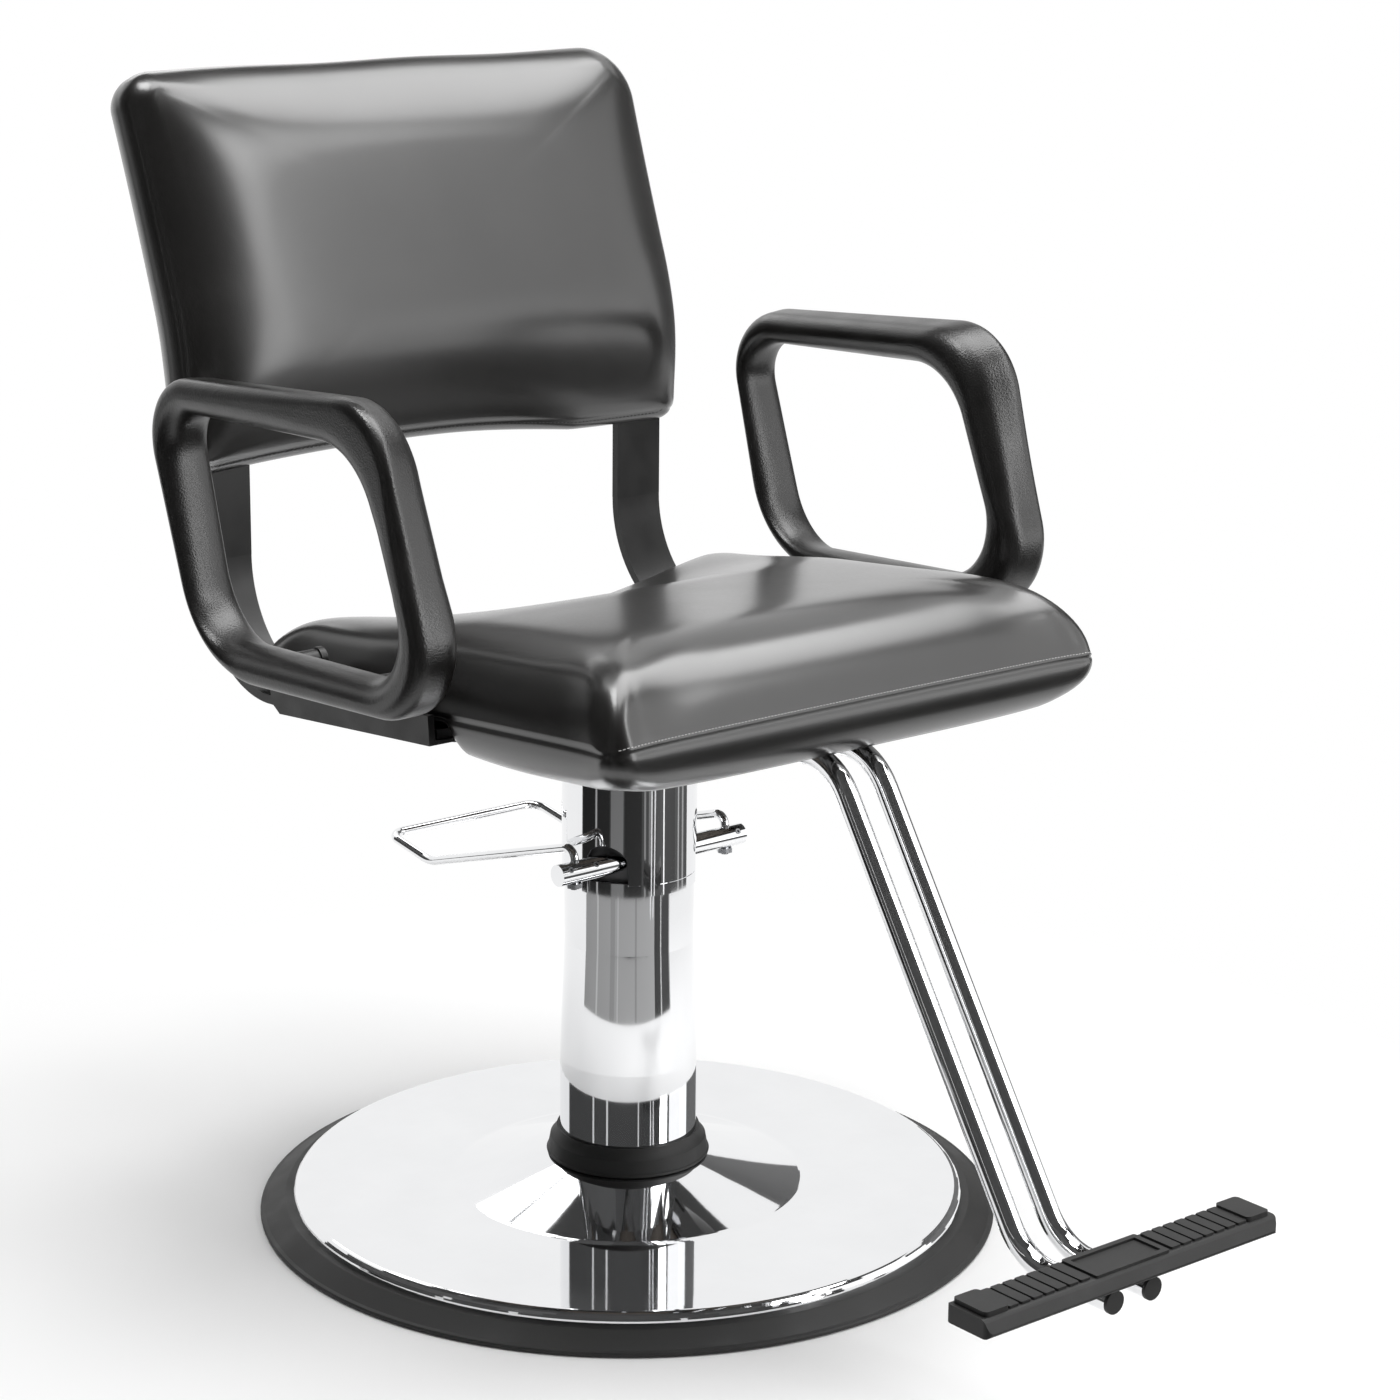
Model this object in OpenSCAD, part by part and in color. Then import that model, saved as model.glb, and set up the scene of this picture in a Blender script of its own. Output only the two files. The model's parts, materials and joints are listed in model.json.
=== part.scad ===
// Hydraulic styling chair: round floor base, swivelling pump column with a wire foot lever,
// padded seat and back on two bent flat bars, looped arms and a twin-tube footrest.
// Millimetres. +Z is up, the chair faces -Y, the origin is on the floor under the column.
// Rest is the lowest seat height.

/* [Base] */
// Radius of the chromed floor plate
plate_r = 300; // [280:1:330]
// Sheet thickness of the floor plate
plate_wall = 3; // [2:0.5:4]
// Height of the plate's flat top above the floor
plate_top_z = 25; // [24:0.5:32]
// Radius of the rolled rim of the plate
rim_round = 8; // [5:0.5:9]
// Radius at which the plate's cone starts
cone_r = 158; // [130:1:180]
// Height of the cone's top, where its upright neck starts
cone_z = 49; // [44:0.5:52]
// Height of the upright neck above the cone
neck_h = 9; // [7:0.5:14]
// Radial width of the rubber bumper outside the plate
bumper_w = 29.5; // [20:0.5:40]
// Height of the bumper where it meets the plate
bumper_h = 15; // [12:0.5:18]
// Thickness of the bumper's ledge under the plate
bumper_ledge = 5; // [4:0.5:6]
// Reach of the bumper's ledge under the plate
bumper_reach = 18; // [12:1:30]
// Thickness of the steel weight inside the base
weight_t = 8; // [7:0.5:10]
// Radius of the socket flange
socket_flange_r = 98; // [90:1:110]
// Thickness of the socket flange
socket_flange_t = 8; // [6:0.5:9]
// Wall of the swivel socket
socket_wall = 3.2; // [2.5:0.1:4]
// Wall of the swivel bush
bush_wall = 2; // [1:0.1:3]
// Thickness of the thrust washer under the column
washer_t = 4; // [2:0.5:6]
// Bolt circle diameter of the socket flange
socket_pcd = 166; // [160:1:176]
// Height of the rubber gasket above the cone's neck
gasket_h = 15; // [10:0.5:22]
// Gap between the gasket's skirt and the cone
gasket_gap = 0.4; // [0.3:0.1:1.5]

/* [Column] */
// Radius of the column tube at its top
column_r = 57.2; // [50:0.1:62]
// Radius of the column tube at its foot
column_foot_r = 61; // [58:0.1:66]
// Wall of the column tube
column_wall = 2.5; // [2:0.1:4]
// Height of the column tube's rim
column_top_z = 316; // [300:1:320]
// Height at which the column starts to flare
flare_top_z = 250; // [230:1:270]
// Height at which the flare ends
flare_low_z = 140; // [100:1:180]
// Radius of the lift ram
ram_r = 18; // [14:0.1:18.5]
// Bore radius of the oil cylinder
cylinder_r = 22; // [20:0.1:26]
// Wall of the oil cylinder
cylinder_wall = 4; // [3:0.5:6]
// Travel of the lift
lift_travel = 150; // [100:5:160]
// Lower edge of the chromed sleeve
sleeve_z = 305; // [296:1:306]
// Wall of the chromed sleeve
sleeve_wall = 1.5; // [1:0.1:2.5]
// Radial gap between column and sleeve
sleeve_gap = 0.7; // [0.4:0.1:1.5]
// Radius of the pump head above the column's rim
head_r = 52; // [48:0.5:53]
// Height of the pump head above the column's rim
head_h = 38; // [34:1:44]

/* [Pump lever] */
// Radius of the rocker shaft
rocker_r = 9.5; // [8:0.1:9.6]
// Length of the rocker shaft
rocker_len = 204; // [190:1:220]
// Distance of the rocker shaft in front of the column axis
rocker_off = 30; // [29.5:0.5:32]
// Height of the rocker shaft
rocker_z = 333; // [331:0.5:334]
// Width of the slots in the sleeve
slot_w = 32; // [26:0.5:34]
// Diameter of the lever wire
wire_d = 8; // [6:0.5:9]
// Distance of the lever legs from the middle
leg_x = 84; // [75:1:90]
// Height of the lever's corner above the shaft
post_h = 22.5; // [18:0.5:28]
// Rear end of the sloping leg
knee_y = 185; // [150:1:210]
// Height of the knee
knee_z = 289; // [270:1:300]
// Rear end of the pedal loop
pedal_y = 250; // [230:1:280]
// Height of the pedal's end bar
pedal_z = 299; // [275:1:305]
// Arm of the rocker that presses the plunger
rocker_arm_l = 20; // [18:0.5:22]
// Radius of the pump plunger
plunger_r = 6; // [5:0.5:6]

/* [Seat] */
// Backward tilt of the seat in degrees
seat_tilt = 5.3; // [3:0.1:7]
// Height of the seat's seam over the column axis
seat_z = 502.8; // [495:0.5:520]
// Width of the seat at its seam
seat_w = 518; // [500:1:540]
// Reach of the seat in front of the column axis
seat_front = 311; // [295:1:330]
// Reach of the seat behind the column axis
seat_rear = 205; // [195:1:212]
// Plan radius of the seat's corners
seat_corner = 12; // [9:1:20]
// Crown of the seat above its seam
seat_crown = 66; // [56:1:75]
// Hollow of the seat's rear middle
seat_dish = 42; // [0:1:46]
// Depth of the front roll below the seam
seat_lip = 35; // [32:1:36]
// Thickness of the plywood seat board
board_t = 12; // [10:1:14]
// Distance of the seat board's edge inside the seat's side
board_edge = 27; // [22:1:34]
// Width of the steel plate that carries the seat
seat_plate_w = 200; // [180:1:220]
// Thickness of the seat plate, equal to the back bars
bar_t = 8; // [6:0.5:10]

/* [Back] */
// Width of the flat bars that carry the back
bar_w = 51; // [40:1:54]
// Distance of each bar's outer edge inside the seat's side
bar_edge = 2; // [1:0.5:8]
// Depth of the upright part of the bars behind the column axis
bar_y = 285; // [275:1:300]
// Bend radius of the bars under the seat's rear
bar_bend = 103; // [80:1:110]
// Height at which the back starts to lean
lean_z = 690; // [680:1:720]
// Lean of the upper back in degrees
lean = 20; // [14:0.5:24]
// Bend radius of the lean
lean_r = 320; // [250:10:400]
// Height of the back cushion's lower hem
back_low_z = 650; // [640:1:670]
// Length of the back cushion along its bend
back_len = 356; // [330:1:380]
// Reach of the back cushion beyond the seat's side
back_edge = 13; // [6:0.5:20]
// Plan radius of the back cushion's corners
back_corner = 36; // [25:1:50]
// Thickness of the padding in front of the bars
back_front_t = 42; // [36:1:55]
// Thickness of the padding behind the bars
back_rear_t = 38; // [30:1:50]
// Thickness of the back board
back_board_t = 9; // [6:1:12]

/* [Arms] */
// Length of the spacers between the side plates and the arms
arm_gap = 25.5; // [16:0.5:32]
// Width of the arm loop
arm_w = 47; // [40:1:54]
// Thickness of the arm loop
arm_t = 30; // [26:1:34]
// Edge radius of the arm loop
arm_edge = 11; // [8:0.5:12]
// Thickness of the side plates that carry the arms
side_t = 6; // [4:0.5:7]
// Front end of the side plates, along the seat
side_front = 77; // [70:1:100]
// Rear end of the side plates, along the seat
side_rear = 158; // [140:1:165]
// Drop of the arm bolts below the middle of the arm's low bar
arm_bolt_drop = 3; // [0:0.5:4]

/* [Footrest] */
// Radius of the footrest tubes
tube_r = 9.5; // [8:0.5:11]
// Wall of the footrest tubes
tube_wall = 1.6; // [1.2:0.1:2.5]
// Distance of each tube from the chair's middle
tube_x = 20.7; // [16:0.1:30]
// Bend radius of the tubes
tube_bend = 55; // [40:1:60]
// Slope of the tubes' long run in degrees
tube_slope = 56.6; // [53:0.1:61]
// Forward reach of the tube ends
rest_reach = 618; // [600:1:640]
// Height of the tubes under the footrest pad
rest_z = 128.5; // [110:0.5:150]
// Forward reach at which the tubes' long run meets the seat's line
tube_knee = 289.7; // [284:0.1:298]
// Length of the footrest pad
pad_len = 317; // [280:1:340]
// Width of the footrest pad
pad_w = 46; // [40:1:54]
// Thickness of the footrest pad
pad_t = 18; // [15:1:24]

/* [Hidden] */
$fn = 64;

// Fits
fit = 0.3;
slide_fit = 0.06;
press = 0.02;

// Colours
chrome = [0.82, 0.83, 0.85];
steel = [0.55, 0.56, 0.58];
iron = [0.3, 0.3, 0.31];
black_rubber = [0.07, 0.07, 0.07];
black_steel = [0.1, 0.1, 0.1];
vinyl = [0.13, 0.13, 0.13];
urethane = [0.1, 0.095, 0.09];
plywood = [0.72, 0.56, 0.36];
bronze = [0.7, 0.5, 0.25];

// Base heights
flange_z = weight_t;
washer_z = flange_z;
column_z = washer_z + washer_t + fit;
bush_r = column_foot_r + slide_fit;
socket_r = bush_r + bush_wall;
socket_out_r = socket_r + socket_wall;
neck_r = socket_out_r + fit + plate_wall;
neck_z = cone_z + neck_h;
socket_top_z = neck_z - 4;
cone_fillet = 30;
rim_steps = 8;
bolt_r = 5;
bolt_fit = 0.2;
bolt_head_r = 8.5;
bolt_head_h = 6;

// Column heights
plug_t = 14;
plug_seat = 5;
cylinder_z = column_z + plug_seat;
head_spigot = 46;
spigot_z = column_top_z - head_spigot;
head_top_z = column_top_z + head_h;
wiper_h = 8;
wiper_r = ram_r + 7;
piston_h = 26;
piston_z = column_z + plug_t + 30;
sleeve_in_r = column_r + sleeve_gap;
sleeve_r = sleeve_in_r + sleeve_wall;

// Plunger and spring
plunger_x = 28;
plunger_y = rocker_arm_l - rocker_off;
pocket_w = 14;
nose_r = 5;
nose_drop = 4;
plunger_gap = 0.4;
plunger_top_z = rocker_z - nose_drop - nose_r - plunger_gap;
plunger_cap_h = 3.6;
plunger_cap_r = plunger_r + 3;
spring_len = 24;
spring_wire_r = 0.7;
spring_turns = 6;
spring_r = plunger_r + 1.5;
spring_top_z = plunger_top_z - plunger_cap_h - 0.05;
spring_z = spring_top_z - spring_len;
plunger_len = 38;
pocket_z = rocker_z - rocker_r - 5.5;

// Seat frame: y runs along the seat, z is square to it, zero at the seam over the column axis
board_z = -board_t;
bar_mid_z = board_z - bar_t / 2;
bar_low_z = board_z - bar_t;
foot_t = 3;
board_front = seat_front - 41;
board_rear = seat_rear - 35;
board_hw = seat_w / 2 - board_edge;
plate_half = seat_plate_w / 2;
hub_r = 30;
hub_drop = 62;
flange_t = 6;
sleeve_top_z = seat_z + (bar_low_z - 4) / cos(seat_tilt) - sleeve_r * tan(seat_tilt);
plate_bolt = 76;

// Back
bar_x = seat_w / 2 - bar_edge - bar_w / 2;
back_w = seat_w + 2 * back_edge;
back_bar_len = 300;
back_inset = 26;
hem_gap = 0.4;

// Arms: corner points of the loop's middle line as [y, z], with the bend radius of each
arm_corners = [[-172.6, 543], [159.7, 526], [226, 739], [-87.5, 757]];
arm_bends = [57, 84, 44, 76];
arm_bolt_y = [-40, 85];
arm_bolt_r = 4;
spacer_r = 8.5;
side_x = seat_w / 2 + 3;
arm_x = side_x + side_t + arm_gap;
ear_r = 10;
arm_bolt_in = 16;

// Footrest
bracket_h = 26;
bracket_wall = 4;
bracket_w = 34;
bracket_len = 130;
bracket_y = [-222, -142];
tube_drop = bracket_h + tube_r;
tube_rear_y = -118;
plug_len = 10;
plug_head = 3;
pad_z = rest_z + tube_r;
pad_front = rest_reach + 7;
rib_n = 7;
rib_gap = 2.2;
frame_hw = 40;
end_pad = 25;

// Point on the seat's slanting frame in the chair's [y, z]
function seat_pt(y, z) =
  [y * cos(seat_tilt) + z * sin(seat_tilt), seat_z - y * sin(seat_tilt) + z * cos(seat_tilt)];

// Point of the chair's [y, z] on the seat's slanting frame
function to_seat(y, z) =
  [y * cos(seat_tilt) - (z - seat_z) * sin(seat_tilt), y * sin(seat_tilt) + (z - seat_z) * cos(seat_tilt)];

// Points on an arc in a plane, from angle a to angle b
function arc(c, r, a, b, n) =
  [for (i = [0:n]) c + r * [cos(a + (b - a) * i / n), sin(a + (b - a) * i / n)]];

// Heading of a plane path's segment, and its turn at a corner
function heading(p, q) = atan2(q.y - p.y, q.x - p.x);
function turn_at(p, q, r) = let (t = heading(q, r) - heading(p, q)) t - 360 * floor((t + 180) / 360);

// Seat frame
module on_seat() {
  translate([0, 0, seat_z])
    rotate([-seat_tilt, 0, 0])
      children();
}

// Lays the XY plane on the chair's YZ plane, with Z along X
module side_plane() {
  rotate([90, 0, 90])
    children();
}

// Both sides of the chair
module both_sides() {
  children();
  mirror([1, 0, 0])
    children();
}

// Rectangle with round corners about its middle
module round_rect(w, h, r) {
  square([w - 2 * r, h], center = true);
  square([w, h - 2 * r], center = true);
  for (i = [-1, 1], j = [-1, 1])
    translate([i * (w / 2 - r), j * (h / 2 - r)])
      circle(r);
}

// Bends reach into the straights beside them, a hair thinner so that the two join cleanly
lap = 0.4;
thin = 0.995;

// Carries a profile along a plane path: its x is to the left of the path, its y is out of the plane
module sweep_path(points, radii, closed = false) {
  n = len(points);
  last = closed ? n - 1 : n - 2;
  function pt(i) = points[(i + n) % n];
  function is_end(i) = !closed && (i == 0 || i == n - 1);
  function bend(i) = is_end(i) ? 0 : turn_at(pt(i - 1), pt(i), pt(i + 1));
  function trim(i) = is_end(i) ? 0 : radii[i % n] * tan(abs(bend(i)) / 2);
  for (i = [0:last]) {
    a = pt(i);
    b = pt(i + 1);
    h = heading(a, b);
    translate(a + trim(i) * [cos(h), sin(h)])
      rotate([0, 0, h])
        rotate([90, 0, 90])
          linear_extrude(norm(b - a) - trim(i) - trim((i + 1) % n))
            children();
  }
  for (i = [0:n - 1])
    if (!is_end(i)) {
      h = heading(pt(i - 1), pt(i));
      t = bend(i);
      side = sign(t);
      more = lap / radii[i] * 180 / PI;
      start = pt(i) - trim(i) * [cos(h), sin(h)];
      translate(start + side * radii[i] * [-sin(h), cos(h)])
        rotate([0, 0, side > 0 ? h - 90 - more : h + 90 + t - more])
          rotate_extrude(angle = abs(t) + 2 * more)
            translate([radii[i], 0])
              mirror([side > 0 ? 1 : 0, 0])
                scale(thin)
                  children();
    }
}

// Round wire through points in space with a bend radius at each inner point
module bent_wire(points, radii, r) {
  n = len(points);
  function dir(i) = (points[i + 1] - points[i]) / norm(points[i + 1] - points[i]);
  function trim(i) = i == 0 || i == n - 1 ? 0 : radii[i] * tan(acos(dir(i - 1) * dir(i)) / 2);
  function frame(x, y, o) = let (z = cross(x, y))
    [[x[0], y[0], z[0], o[0]], [x[1], y[1], z[1], o[1]], [x[2], y[2], z[2], o[2]], [0, 0, 0, 1]];
  function square_to(d) = let (s = abs(d.x) < 0.9 ? cross(d, [1, 0, 0]) : cross(d, [0, 1, 0])) s / norm(s);
  for (i = [0:n - 2]) {
    d = dir(i);
    u = square_to(d);
    multmatrix(frame(u, cross(d, u), points[i] + trim(i) * d))
      cylinder(h = norm(points[i + 1] - points[i]) - trim(i) - trim(i + 1), r = r);
  }
  for (i = [1:n - 2]) {
    d = dir(i - 1);
    e = dir(i);
    s = e - (e * d) * d;
    inward = s / norm(s);
    more = lap / radii[i] * 180 / PI;
    multmatrix(frame(-inward, d, points[i] - trim(i) * d + radii[i] * inward))
      rotate([0, 0, -more])
        rotate_extrude(angle = acos(d * e) + 2 * more)
          translate([radii[i], 0])
            circle(r * thin);
  }
}

// Points a part of the way along a side, even unless their shares of it are given
function evenly(n) = [for (i = [1:n]) i / (n + 1)];
function backwards(v) = [for (i = [len(v) - 1:-1:0]) 1 - v[i]];

// Ring of points on a rectangle with round corners, its sides drawn in by pull
function ring(x, front, rear, r, pull, across = evenly(7), along = evenly(7), n = 6) =
  let (
    mid = (rear - front) / 2,
    half = (rear + front) / 2,
    k = min(r, x - 1, half - 1),
    corners = [for (q = [0:3]) [for (i = [0:n - 1])
      let (a = 90 * q + 90 * i / (n - 1), sx = q == 0 || q == 3 ? 1 : -1, sy = q < 2 ? 1 : -1)
      [sx * (x - k) + k * cos(a), sy * (half - k) + k * sin(a)]]],
    points = [for (q = [0:3])
      let (p = corners[q][n - 1], e = corners[(q + 1) % 4][0],
        m = q % 2 == 0 ? across : q == 1 ? backwards(along) : along)
      each concat(corners[q], [for (f = m) p + (e - p) * f])])
  [for (p = points)
    [p.x * (1 - pull / x * (1 - pow(p.y / half, 2))), mid + p.y * (1 - pull / half * (1 - pow(p.x / x, 2)))]];

// Closed solid through rings of points, from a first pole to a last pole
module skin(first, rings, last) {
  m = len(rings[0]);
  n = len(rings);
  points = concat([first], [for (r = rings, p = r) p], [last]);
  faces = concat(
    [for (i = [0:m - 1]) [0, 1 + i, 1 + (i + 1) % m]],
    [for (j = [0:n - 2], i = [0:m - 1]) let (a = 1 + j * m + i, b = 1 + j * m + (i + 1) % m) [a, a + m, b]],
    [for (j = [0:n - 2], i = [0:m - 1]) let (a = 1 + j * m + i, b = 1 + j * m + (i + 1) % m) [b, a + m, b + m]],
    [for (i = [0:m - 1]) [n * m + 1, 1 + (n - 1) * m + (i + 1) % m, 1 + (n - 1) * m + i]]);
  polyhedron(points, faces, convexity = 6);
}

// Bolts along -Z from a head that sits on z = 0
module bolt(r, len, head_r, head_h) {
  cylinder(h = head_h, r = head_r, $fn = 6);
  translate([0, 0, -len])
    cylinder(h = len + 0.5, r = r);
}

// Four places on a bolt circle
module socket_bolt_places() {
  for (a = [45:90:315])
    rotate([0, 0, a])
      translate([socket_pcd / 2, 0, 0])
        children();
}

// Chromed floor plate: flat dish with a rolled rim and a cone in the middle
module base_plate() {
  slope = atan2(cone_z - plate_top_z, cone_r - neck_r);
  trim = cone_fillet * tan(slope / 2);
  centre = [cone_r + trim, plate_top_z + cone_fillet];
  rim = [plate_r - rim_round, plate_top_z - rim_round];
  under_cone = cone_z - plate_wall * (cos(slope) - (1 - sin(slope)) * tan(slope));
  color(chrome)
    rotate_extrude($fn = 128)
      polygon(concat(
        [[neck_r - plate_wall, neck_z], [neck_r, neck_z], [neck_r, cone_z]],
        arc(centre, cone_fillet, 270 - slope, 270, 6),
        arc(rim, rim_round, 90, 0, rim_steps),
        [[plate_r, bumper_ledge], [plate_r - plate_wall, bumper_ledge]],
        arc(rim, rim_round - plate_wall, 0, 90, rim_steps),
        arc(centre, cone_fillet + plate_wall, 270, 270 - slope, 6),
        [[neck_r - plate_wall, under_cone]]));
}

// Rubber bumper: ring round the plate with a ledge under it and a bead near the floor
module base_bumper() {
  inner = plate_r + press;
  outer = plate_r + bumper_w;
  bead = 2.2;
  color(black_rubber)
    rotate_extrude($fn = 128)
      polygon(concat(
        [[inner - bumper_reach, 0], [outer - bead, 0]],
        arc([outer - bead, bead], bead, -90, 60, 4),
        [[outer - 2 * bead, 2.2 * bead]],
        arc([inner + 6, bumper_h - 3.4], 3.4, 62, 90, 3),
        [[inner, bumper_h], [inner, bumper_ledge], [inner - bumper_reach, bumper_ledge]]));
}

// Steel weight: flat on the floor inside the bumper, with a thin rim that laps over the bumper's ledge
module base_weight() {
  color(iron)
    difference() {
      union() {
        cylinder(h = weight_t, r = plate_r - bumper_reach - fit, $fn = 128);
        translate([0, 0, bumper_ledge])
          cylinder(h = weight_t - bumper_ledge, r = plate_r - plate_wall - fit, $fn = 128);
      }
      socket_bolt_places()
        translate([0, 0, -1])
          cylinder(h = weight_t + 2, r = bolt_r + bolt_fit);
    }
}

// Swivel socket: flanged sleeve bolted to the weight
module base_socket() {
  color(iron)
    difference() {
      union() {
        translate([0, 0, flange_z])
          cylinder(h = socket_flange_t, r = socket_flange_r);
        translate([0, 0, flange_z])
          cylinder(h = socket_top_z - flange_z, r = socket_out_r);
      }
      translate([0, 0, flange_z - 1])
        cylinder(h = socket_top_z, r = socket_r);
      translate([0, 0, flange_z - 1])
        socket_bolt_places()
          cylinder(h = socket_flange_t + 2, r = bolt_r + bolt_fit);
    }
}

// Bronze bush in the socket that guides the column
module socket_bush() {
  color(bronze)
    translate([0, 0, washer_z + washer_t + fit])
      difference() {
        cylinder(h = socket_top_z - washer_z - washer_t - fit, r = socket_r);
        translate([0, 0, -1])
          cylinder(h = socket_top_z, r = bush_r);
      }
}

// Flange bolts of the socket
module socket_bolts() {
  color(steel)
    translate([0, 0, flange_z + socket_flange_t])
      socket_bolt_places()
        bolt(bolt_r, socket_flange_t + weight_t - 1, bolt_head_r, bolt_head_h);
}

// Thrust washer that carries the column
module thrust_washer() {
  color(bronze)
    translate([0, 0, washer_z])
      difference() {
        cylinder(h = washer_t, r = socket_r - fit);
        translate([0, 0, -1])
          cylinder(h = washer_t + 2, r = socket_r / 2);
      }
}

// Rubber gasket that closes the gap between the cone's neck and the turning column
module column_gasket() {
  lip = column_foot_r + fit;
  skirt = neck_r + press;
  flare = 3.4;
  low = cone_z + gasket_gap;
  top = neck_z + gasket_h;
  color(black_rubber)
    rotate_extrude()
      polygon(concat(
        [[skirt, low], [skirt + flare - 1, low]],
        arc([skirt + flare - 1.5, low + 1.5], 1.5, -70, 80, 4),
        arc([skirt + flare + 10, top + 6], 20, 228, 196, 8),
        [[lip + 1.6, top], [lip, top], [lip, neck_z + press], [skirt, neck_z + press]]));
}

// Outline of the column tube at a given radial offset from its face
function tube_side(in) =
  [[column_foot_r - in, column_z], [column_foot_r - in, flare_low_z], [column_r - in, flare_top_z],
   [column_r - in, column_top_z]];

// Chromed column tube, flared towards its foot
module column_tube() {
  wall = tube_side(column_wall);
  color(chrome)
    rotate_extrude()
      polygon(concat(tube_side(0), [wall[3], wall[2], wall[1], wall[0]]));
}

// Plug that closes the column's foot and seats the oil cylinder
module column_plug() {
  color(steel)
    translate([0, 0, column_z])
      difference() {
        cylinder(h = plug_t, r = column_foot_r - column_wall - press);
        translate([0, 0, plug_seat])
          cylinder(h = plug_t, r = cylinder_r + cylinder_wall + press);
      }
}

// Oil cylinder in which the ram's piston runs
module oil_cylinder() {
  color(steel)
    translate([0, 0, cylinder_z])
      difference() {
        cylinder(h = spigot_z - cylinder_z, r = cylinder_r + cylinder_wall);
        translate([0, 0, -1])
          cylinder(h = spigot_z, r = cylinder_r);
      }
}

// Pump head: closes the column, guides the ram and carries the rocker shaft and the plunger
module pump_head() {
  color(iron)
    difference() {
      union() {
        translate([0, 0, spigot_z])
          cylinder(h = head_spigot, r = column_r - column_wall - press);
        translate([0, 0, column_top_z])
          cylinder(h = head_h, r = head_r);
      }
      translate([0, 0, spigot_z - 1])
        cylinder(h = head_top_z, r = ram_r + slide_fit);
      translate([0, 0, head_top_z - wiper_h])
        cylinder(h = wiper_h + 1, r = wiper_r + press);
      translate([-head_r - 1, -rocker_off, rocker_z])
        rotate([0, 90, 0])
          cylinder(h = 2 * head_r + 2, r = rocker_r + slide_fit);
      translate([plunger_x - pocket_w / 2, -head_r, pocket_z])
        cube([pocket_w, head_r + plunger_y + plunger_cap_r + 3, head_top_z]);
      translate([plunger_x, plunger_y, spring_z])
        cylinder(h = head_h, r = plunger_cap_r + 0.6);
      translate([plunger_x, plunger_y, spigot_z - 1])
        cylinder(h = head_spigot, r = plunger_r + slide_fit);
    }
}

// Rubber wiper ring round the ram
module ram_wiper() {
  color(black_rubber)
    translate([0, 0, head_top_z - wiper_h])
      difference() {
        cylinder(h = wiper_h, r = wiper_r);
        translate([0, 0, -1])
          cylinder(h = wiper_h + 2, r = ram_r + slide_fit);
      }
}

// Return spring under the plunger's cap: one unbroken wire
module plunger_spring() {
  sides = 6;
  per_turn = 12;
  steps = per_turn * spring_turns;
  rise = spring_len - 2 * spring_wire_r - 0.2;
  function mid(i) = [spring_r * cos(360 * i / per_turn), spring_r * sin(360 * i / per_turn),
    spring_wire_r + 0.1 + rise * i / steps];
  function section(i) = [for (k = [0:sides - 1]) mid(i)
    + spring_wire_r * cos(360 * k / sides) * [cos(360 * i / per_turn), sin(360 * i / per_turn), 0]
    + [0, 0, spring_wire_r * sin(360 * k / sides)]];
  echo(spring_gap = rise / spring_turns - 2 * spring_wire_r);
  color(steel)
    translate([plunger_x, plunger_y, spring_z])
      skin(mid(0), [for (i = [0:steps]) section(i)], mid(steps));
}

// Plunger that the rocker presses down
module pump_plunger() {
  color(steel)
    translate([plunger_x, plunger_y, plunger_top_z]) {
      translate([0, 0, -plunger_cap_h])
        cylinder(h = plunger_cap_h, r = plunger_cap_r);
      translate([0, 0, -plunger_len])
        cylinder(h = plunger_len - 1, r = plunger_r);
    }
}

// Places of the set screws along the shaft
screw_x = [-leg_x - 9, -66, leg_x + 9];
screw_r = 2.6;
screw_len = 5;
screw_up = 35;
module screw_places() {
  for (x = screw_x)
    translate([x, -rocker_off, rocker_z])
      rotate([90 - screw_up, 0, 0])
        translate([0, 0, rocker_r - screw_len])
          children();
}

// Rocker shaft with cross holes for the lever's posts
module rocker_shaft() {
  color(chrome)
    difference() {
      translate([-rocker_len / 2, -rocker_off, rocker_z])
        rotate([0, 90, 0])
          cylinder(h = rocker_len, r = rocker_r);
      for (s = [-1, 1])
        translate([s * leg_x, -rocker_off, rocker_z - rocker_r - 1])
          cylinder(h = 2 * rocker_r + 2, r = wire_d / 2 + press);
      screw_places()
        cylinder(h = screw_len + 2, r = screw_r + press);
    }
}

// Wire lever: two posts through the shaft, sloping legs, and a flat pedal loop at the rear
post_tail = 15;
module pump_lever() {
  side = [[leg_x, -rocker_off, rocker_z - post_tail], [leg_x, -rocker_off, rocker_z + post_h],
    [leg_x, knee_y, knee_z], [leg_x, pedal_y, pedal_z]];
  other = [for (i = [3:-1:0]) [-side[i].x, side[i].y, side[i].z]];
  post_turn = 90 + atan2(rocker_z + post_h - knee_z, knee_y + rocker_off);
  post_bend = (post_h - rocker_r - 0.6) / tan(post_turn / 2);
  knee_bend = 40;
  pedal_bend = 15;
  color(chrome)
    bent_wire(concat(side, other),
      [0, post_bend, knee_bend, pedal_bend, pedal_bend, knee_bend, post_bend, 0], wire_d / 2);
}

// Rocker arm clamped on the shaft, with a round nose over the plunger
module rocker_arm() {
  w = pocket_w - 2;
  hub = rocker_r + 4;
  color(steel)
    translate([plunger_x - w / 2, -rocker_off, rocker_z])
      side_plane()
        difference() {
          union() {
            cylinder(h = w, r = hub);
            translate([rocker_arm_l, -nose_drop, 0])
              cylinder(h = w, r = nose_r);
            linear_extrude(w)
              polygon([[2, hub - 1.5], [rocker_arm_l + 1, nose_r - nose_drop - 0.6],
                [rocker_arm_l + 1, -nose_drop - nose_r + 0.6], [2, -nose_drop - nose_r]]);
          }
          translate([0, 0, -1])
            cylinder(h = w + 2, r = rocker_r + press);
        }
}

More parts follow.
